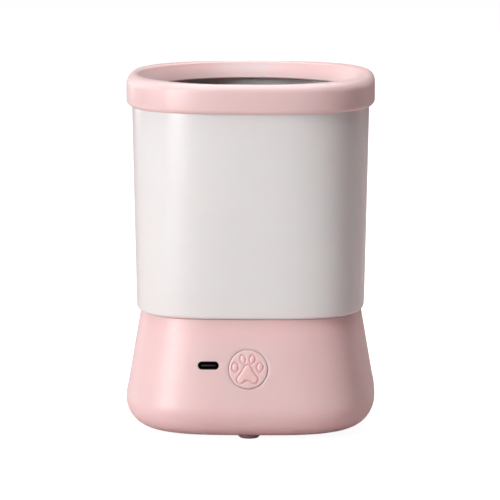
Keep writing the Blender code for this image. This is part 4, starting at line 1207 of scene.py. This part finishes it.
class WASHER_OT_gear_train(bpy.types.Operator):
    """Involute gears with sunk webs, and the bushes that the shafts turn in"""

    bl_idname = "washer.gear_train"
    bl_label = "Gears and bushes"

    def execute(self, context):
        facing = math.pi + math.pi / PINION_TEETH
        self.gear("output_gear", WHEEL_TEETH, IDLER_BEARING, (0, 0), SHAFT_BORE, "natural_nylon", 0.0052)
        self.gear("idler_wheel", WHEEL_TEETH, MOTOR_BEARING, IDLER, AXLE_BORE, "natural_nylon", 0.0050)
        self.gear("idler_pinion", PINION_TEETH, IDLER_BEARING + facing, IDLER, AXLE_BORE, "natural_nylon")
        self.gear("motor_pinion", PINION_TEETH, MOTOR_BEARING + facing, MOTOR, 0.0013, "machined_brass")
        self.bush("upper_bearing", "upper_bush")
        self.bush("lower_bearing", "lower_bush", 0.0008, 0.0057)
        self.bush("cup_bush", "cup_bush_turned", 0.0010, 0.0050)
        return {"FINISHED"}

    def gear(self, node, teeth, tooth_at, centre, bore, finish, web_from=None):
        """A gear with an eased bore, and with a web sunk from web_from outwards if that is given."""
        low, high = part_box(node)
        edge, web_to, sunk, ease_in = 0.00012, 0.0118, 0.0009, 0.0003
        piece = stamp(slab(gear_teeth(teeth, tooth_at, centre), low.z, high.z, edge), node + "_teeth",
                      finish, 25)
        cuts = [prism(disc(bore, 32, centre),
                      [(low.z - PAST, edge), (low.z, edge), (low.z + edge, 0), (high.z - edge, 0),
                       (high.z, edge), (high.z + PAST, edge)])]
        if web_from:
            for face, into in ((low.z, sunk), (high.z, -sunk)):
                ring = eased([(web_from, face - into), (web_to, face - into), (web_to - ease_in, face + into),
                              (web_from + ease_in, face + into)], 0.0002)
                cuts.append(place(turn(ring, 72, closed=True), at(*centre)))
        fit(carve(piece, cuts, sharp=25), node)

    def bush(self, node, name, flange=None, body=None):
        """A plain bush, or a flange of that thickness over a thinner body."""
        low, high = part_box(node)
        ring = [(SHAFT_BORE, high.z), (high.x, high.z)]
        if flange:
            ring += [(high.x, high.z - flange), (body, high.z - flange), (body, low.z)]
        else:
            ring += [(high.x, low.z)]
        ring += [(SHAFT_BORE, low.z)]
        fit(stamp(turn(eased(ring), closed=True), name, "machined_brass"), node)


class WASHER_OT_motor(bpy.types.Operator):
    """Motor can with its bearing nose and vents, end cap, and the shafts"""

    bl_idname = "washer.motor"
    bl_label = "Motor and shafts"

    def execute(self, context):
        low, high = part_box("motor_can")
        radius, shoulder, nose, edge, bead = (high.x - low.x) / 2, high.z - 0.0008, 0.0038, 0.0012, 0.0002
        rows = [(0, high.z), (nose, high.z), (nose, shoulder)]
        rows += arc((radius - edge, shoulder - edge), edge, 90, 0, 6)
        rows += [(radius, low.z + 0.0030), (radius - bead, low.z + 0.0028), (radius - bead, low.z + 0.0020),
                 (radius, low.z + 0.0018), (radius, low.z + bead), (radius - bead, low.z), (0, low.z)]
        # Turned a little, so that no edge of the can's mesh runs through a hole's edge.
        can = stamp(place(turn(rows, 72), at(*MOTOR) @ turned(1.1)), "motor_can_drawn", "turned_steel")
        cuts = [plug(disc(0.0013, 24, MOTOR), 0.0120, high.z + PAST)]
        along = Vector((math.cos(MOTOR_BEARING), math.sin(MOTOR_BEARING)))
        across = Vector((-along.y, along.x))
        for side in (-1, 1):
            cuts.append(plug(disc(0.0012, 24, MOTOR + along * 0.0080 * side), 0.0255, high.z))
            vent = plug(stadium(MOTOR, 0.0050, 0.0022), shoulder - 0.0008, high.z)
            cuts.append(place(vent, at(*across * 0.0082 * side)))
        fit(carve(can, cuts), "motor_can")
        self.end_cap()
        for node in ("motor_shaft", "idler_axle", "drive_shaft"):
            self.shaft(node)
        return {"FINISHED"}

    def end_cap(self):
        low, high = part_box("motor_endcap")
        radius, dished = (high.x - low.x) / 2, low.z + 0.0004
        rows = eased([(0, high.z), (radius, high.z), (radius, low.z), (0.0040, low.z), (0.0036, dished),
                      (0, dished)], 0.0002, closed=False)
        cap = place(turn(rows, 60), at(*MOTOR))
        fit(stamp(cap, "motor_endcap_moulded", "natural_nylon"), "motor_endcap")

    def shaft(self, node):
        low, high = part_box(node)
        radius = (high.x - low.x) / 2
        rows = eased([(0, high.z), (radius, high.z), (radius, low.z), (0, low.z)], 0.0003, closed=False)
        fit(stamp(place(turn(rows, 32), at(*middle(node))), node + "_ground", "turned_steel"), node)


class WASHER_OT_gear_tray(bpy.types.Operator):
    """Tray under the gears, with its bores and with pockets in its underside"""

    bl_idname = "washer.gear_tray"
    bl_label = "Gear tray"

    def execute(self, context):
        low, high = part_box("gear_tray")
        tray = stamp(slab(rounded_box(low.xy, high.xy, 0.0040), low.z, high.z), "gear_tray_moulding",
                     "charcoal_plastic")
        bores = [(0.0060, (0, 0)), (AXLE_BORE, IDLER), (0.0043, MOTOR)]
        bores += [(0.0013, middle(node)) for node in numbered("tray_screw", 4) + numbered("motor_screw", 2)]
        cuts = [plug(disc(radius, 40, spot), low.z - PAST, high.z + PAST) for radius, spot in bores]
        pockets = [((-0.0185, -0.0110), (-0.0090, 0.0150)), ((0.0245, -0.0090), (0.0325, 0.0160)),
                   ((-0.0060, 0.0100), (0.0120, 0.0205))]
        for corner, far_corner in pockets:
            cuts.append(plug(rounded_box(corner, far_corner, 0.0015), low.z - PAST, low.z + 0.0008))
        fit(carve(tray, cuts), "gear_tray")
        return {"FINISHED"}


# ---- operators: board and battery


class WASHER_OT_circuit_board(bpy.types.Operator):
    """Circuit board with its soldered parts, and the switch behind the button"""

    bl_idname = "washer.circuit_board"
    bl_label = "Circuit board"

    def execute(self, context):
        outline = rounded_box((-0.0260, -0.0115), (0.0150, 0.0105), 0.0015)
        board = self.stand(slab(outline, -BOARD_BACK, -BOARD_FRONT, 0.0001), "main_board_laminate",
                           "lacquered_board")
        holes = [place(plug(disc(0.0014, 24, spot), -BOARD_BACK - PAST, -BOARD_FRONT + PAST), WALL_FRAME)
                 for spot in BOARD_SCREWS]
        fit(carve(board, holes), "main_board")
        self.components()
        self.switch()
        return {"FINISHED"}

    def stand(self, bm, name, finish):
        return stamp(place(bm, WALL_FRAME), name, finish)

    def raised(self, outline, height, edge):
        """A part soldered to the board's back."""
        return slab(outline, -BOARD_BACK - height, -BOARD_BACK, edge)

    def components(self):
        """Chips, a coil and a capacitor, and the joints of the leads."""
        diode, resistor = (0.0032, 0.0016, 0.0008), (0.0016, 0.0009, 0.0006)
        chips = [((0.0, 0.0050), (0.0070, 0.0060, 0.0012)), ((-0.0185, 0.0050), (0.0050, 0.0040, 0.0010)),
                 ((-0.0190, -0.0020), diode), ((-0.0060, 0.0005), resistor), ((0.0050, 0.0), resistor),
                 ((0.0070, -0.0085), diode)]
        parts = bmesh.new()
        for (x, y), (wide, tall, thick) in chips:
            outline = rounded_box((x - wide / 2, y - tall / 2), (x + wide / 2, y + tall / 2), 0.0002, 2)
            gather(parts, self.raised(outline, thick, 0.0001))
        gather(parts, self.raised(rounded_box((-0.0140, 0.0020), (-0.0085, 0.0075), 0.0012), 0.0026, 0.0003))
        gather(parts, self.raised(disc(0.0028, 32, (0.0100, 0.0055)), 0.0042, 0.0003))
        add_to_base(self.stand(parts, "board_parts", "charcoal_plastic"))
        joints = bmesh.new()
        for spot in ((-0.0120, -0.0027), (0.0075, -0.0027), (-0.0065, -0.0058), (0.0010, -0.0063)):
            gather(joints, self.raised(disc(0.0014, 20, spot), 0.0007, 0.0003))
        add_to_base(self.stand(joints, "board_solder", "turned_steel"))

    def switch(self):
        face, half, edge = -0.0052, 0.0030, 0.0002
        body = slab(rounded_box((-half, -half), (half, half), 0.0004), -BOARD_FRONT + GAP, face, edge)
        well = prism(disc(0.0020, 32), [(-0.0080, 0), (face - edge, 0), (face + edge, edge * 2)])
        body = self.stand(body, "switch_body_moulding", "charcoal_plastic")
        fit(carve(body, [place(well, WALL_FRAME)]), "switch_body")
        radius, front, back = 0.0017, -0.0042, -0.0066
        rows = eased([(0, front), (radius, front), (radius, back), (0, back)], 0.0003, closed=False)
        fit(self.stand(turn(rows, 32), "switch_plunger_turned", "natural_nylon"), "switch_plunger")


class WASHER_OT_battery(bpy.types.Operator):
    """Wrapped cell with its end caps and tabs, its cradle, and the leads"""

    bl_idname = "washer.battery"
    bl_label = "Battery and leads"

    def execute(self, context):
        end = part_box("battery_cell")[1].x
        self.cell(end)
        self.tabs(end)
        self.motor_terminals()
        self.cradle(end)
        for user in ("battery", "motor"):
            for colour in ("red", "black"):
                self.lead(f"{user}_lead_{colour}", f"{colour}_insulation")
        return {"FINISHED"}

    def cell(self, end):
        wrap, step, cap, crimp = CELL_RADIUS, 0.0004, end - 0.0004, end - 0.0030
        rows = [(0, cap), (wrap - 0.0014, cap), (wrap - 0.0012, end), (wrap - step, end), (wrap, end - step),
                (wrap, crimp), (wrap - step, crimp - step), (wrap - step, crimp - 0.0010),
                (wrap, crimp - 0.0014), (wrap, step - end), (wrap - step, -end), (wrap - 0.0012, -end),
                (wrap - 0.0014, -cap), (0, -cap)]
        bm = place(turn(rows, 72), CELL_FRAME)
        fit(stamp(bm, "battery_cell_wrapped", "cell_shrink_wrap"), "battery_cell")

    def tabs(self, end):
        """A strip across each end of the cell, up to its lead's joint."""
        tabs = bmesh.new()
        for side in (-1, 1):
            block(tabs, (0.0006, 0.0040, 0.0095), (side * (end + 0.0002), 0.0232, 0.0180))
            solder(tabs, 0.0011, (side * (end + 0.0008), 0.0230, 0.0215))
        add_to_base(stamp(tabs, "battery_tabs", "turned_steel"))

    def motor_terminals(self):
        """A tongue out of each side of the motor's end cap, soldered to its lead."""
        height, inside = 0.0062, 0.0108
        terminals = bmesh.new()
        for lead_end in ((-0.0060, -0.0020), (0.0210, -0.0140)):
            out = Vector(lead_end) - MOTOR
            outside = out.length + 0.0005
            made = block(terminals, (outside - inside, 0.0022, 0.0004), ((outside + inside) / 2, 0, height))
            made += solder(terminals, 0.0010, (out.length, 0, height))
            towards = at(*MOTOR) @ Matrix.Rotation(math.atan2(out.y, out.x), 4, "Z")
            bmesh.ops.transform(terminals, matrix=towards, verts=made)
        add_to_base(stamp(terminals, "motor_terminals", "turned_steel"))

    def cradle(self, end):
        low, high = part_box("battery_cradle")
        body = stamp(slab(rounded_box(low.xy, high.xy, 0.0012), low.z, high.z, 0.0003),
                     "battery_cradle_moulding", "charcoal_plastic")
        reach = end + GAP
        hollow = place(plug(disc(CELL_RADIUS + GAP, 72), -reach, reach), CELL_FRAME)
        fit(carve(body, [hollow]), "battery_cradle")

    def lead(self, node, finish):
        """The CAD's own lead, smoothed once."""
        bm = bmesh.new()
        bm.from_mesh(frame["nodes"][node].data)
        piece = stamp(bm, f"{node}_insulated", finish, 60)
        smoothing = piece.modifiers.new("smooth", "SUBSURF")
        smoothing.levels = smoothing.render_levels = 1
        fit(piece, node)


# ---- stage


def area_light(name, power, size, distance, azimuth, elevation, colour=(1, 1, 1)):
    """A panel facing the cup's middle, from an azimuth round from the front and an elevation, in degrees."""
    aim = Vector((0, 0, 0.08))
    light = bpy.data.lights.new(name, "AREA")
    light.shape = "RECTANGLE"
    light.size, light.size_y = size
    light.energy = power
    light.color = colour
    made = bpy.data.objects.new(name, light)
    rise = math.radians(elevation)
    level = polar(math.cos(rise), math.radians(azimuth - 90))
    direction = Vector((*level, math.sin(rise)))
    made.location = aim + direction * distance
    made.rotation_euler = direction.to_track_quat("Z", "Y").to_euler()
    bpy.context.scene.collection.objects.link(made)


class WASHER_OT_stage(bpy.types.Operator):
    """Plain pale floor, soft lights and the camera"""

    bl_idname = "washer.stage"
    bl_label = "Stage"

    def execute(self, context):
        self.camera()
        self.lights()
        self.surroundings()
        self.floor()
        context.scene.view_settings.view_transform = "Standard"
        return {"FINISHED"}

    def camera(self):
        settings = studio()
        lens = bpy.data.cameras.new("camera")
        lens.lens = settings.lens
        lens.sensor_width = 36
        lens.clip_start, lens.clip_end = 0.05, 50
        made = bpy.data.objects.new("camera", lens)
        x, y = polar(settings.distance, settings.azimuth - math.pi / 2, (settings.shift, 0))
        made.location = (x, y, settings.height)
        made.rotation_euler = (math.pi / 2 - settings.pitch, 0, settings.azimuth)
        bpy.context.scene.collection.objects.link(made)
        bpy.context.scene.camera = made

    def lights(self):
        settings = studio()
        area_light("key_softbox", settings.key, (0.48, 1.2), 1.5, -42, 14)
        area_light("feather_panel", settings.feather, (0.24, 1.2), 1.5, -54, 14)
        area_light("side_panel", settings.side, (0.40, 1.2), 1.5, -137, 14)
        area_light("rim_panel", settings.rim, (0.40, 1.2), 1.5, 136, 14, settings.bounce)
        area_light("top_panel", settings.top, (1.0, 1.0), 1.3, 0, 80)
        area_light("back_panel", settings.back, (0.8, 0.6), 1.5, 180, 55)

    def surroundings(self):
        """Plain white behind the cup, which lights it only by the ambient strength."""
        world = bpy.data.worlds.new("studio")
        bpy.context.scene.world = world
        world.use_nodes = True
        tree = world.node_tree
        tint = {"Color": (*studio().bounce, 1), "Strength": studio().ambient}
        cast = add_node(tree, "ShaderNodeBackground", tint)
        seen = add_node(tree, "ShaderNodeBackground", {"Color": (1, 1, 1, 1), "Strength": 1.0})
        shown = camera_choice(tree, cast.outputs["Background"], seen.outputs["Background"])
        feed(tree, tree.nodes["World Output"].inputs["Surface"], shown)

    def floor(self):
        """Matt floor, with a glow that only the camera sees and that melts it into the white behind."""
        bm = bmesh.new()
        bmesh.ops.create_grid(bm, x_segments=1, y_segments=1, size=4)
        table = stamp(place(bm, at(0, 0, -0.0001)), "floor")
        look = bpy.data.materials.new("pale_floor")
        look.use_nodes = True
        tree = look.node_tree
        paint = tree.nodes["Principled BSDF"]
        paint.inputs["Base Color"].default_value = (0.60, 0.50, 0.50, 1)
        paint.inputs["Roughness"].default_value = 0.9
        paint.inputs["Specular IOR Level"].default_value = 0.0
        glow = add_node(tree, "ShaderNodeEmission", {"Strength": 0.93})
        glowing = add_node(tree, "ShaderNodeAddShader",
                           {0: paint.outputs["BSDF"], 1: glow.outputs["Emission"]})
        shown = camera_choice(tree, paint.outputs["BSDF"], glowing.outputs["Shader"])
        feed(tree, tree.nodes["Material Output"].inputs["Surface"], shown)
        table.data.materials.append(look)


# ---- panel and registration

BUILDERS = [WASHER_OT_splash_ring, WASHER_OT_cup_shell, WASHER_OT_bristle_sleeve, WASHER_OT_brush_drum,
            WASHER_OT_coupling, WASHER_OT_base_housing, WASHER_OT_base_cover, WASHER_OT_screws,
            WASHER_OT_power_button, WASHER_OT_charging_port, WASHER_OT_gear_train, WASHER_OT_motor,
            WASHER_OT_gear_tray, WASHER_OT_circuit_board, WASHER_OT_battery, WASHER_OT_stage]


class WASHER_PT_panel(bpy.types.Panel):
    """Lists the settings and the pieces"""

    bl_label = "Paw Washer Cup"
    bl_idname = "WASHER_PT_panel"
    bl_space_type = "VIEW_3D"
    bl_region_type = "UI"
    bl_category = "Paw Washer"

    def draw(self, context):
        for group in (sizes(), colours(), studio()):
            box = self.layout.box()
            for key in group.bl_rna.properties.keys():
                if key not in {"rna_type", "name"}:
                    box.prop(group, key)
        for builder in BUILDERS:
            self.layout.operator(builder.bl_idname)


CLASSES = [WasherSizes, WasherColours, WasherStudio, *BUILDERS, WASHER_PT_panel]


def register():
    for each in CLASSES:
        bpy.utils.register_class(each)
    bpy.types.Scene.washer_sizes = PointerProperty(type=WasherSizes)
    bpy.types.Scene.washer_colours = PointerProperty(type=WasherColours)
    bpy.types.Scene.washer_studio = PointerProperty(type=WasherStudio)


def unregister():
    del bpy.types.Scene.washer_studio
    del bpy.types.Scene.washer_colours
    del bpy.types.Scene.washer_sizes
    for each in reversed(CLASSES):
        bpy.utils.unregister_class(each)


def main():
    register()
    for builder in BUILDERS:
        family, name = builder.bl_idname.split(".")
        getattr(getattr(bpy.ops, family), name)()


if __name__ == "__main__":
    main()
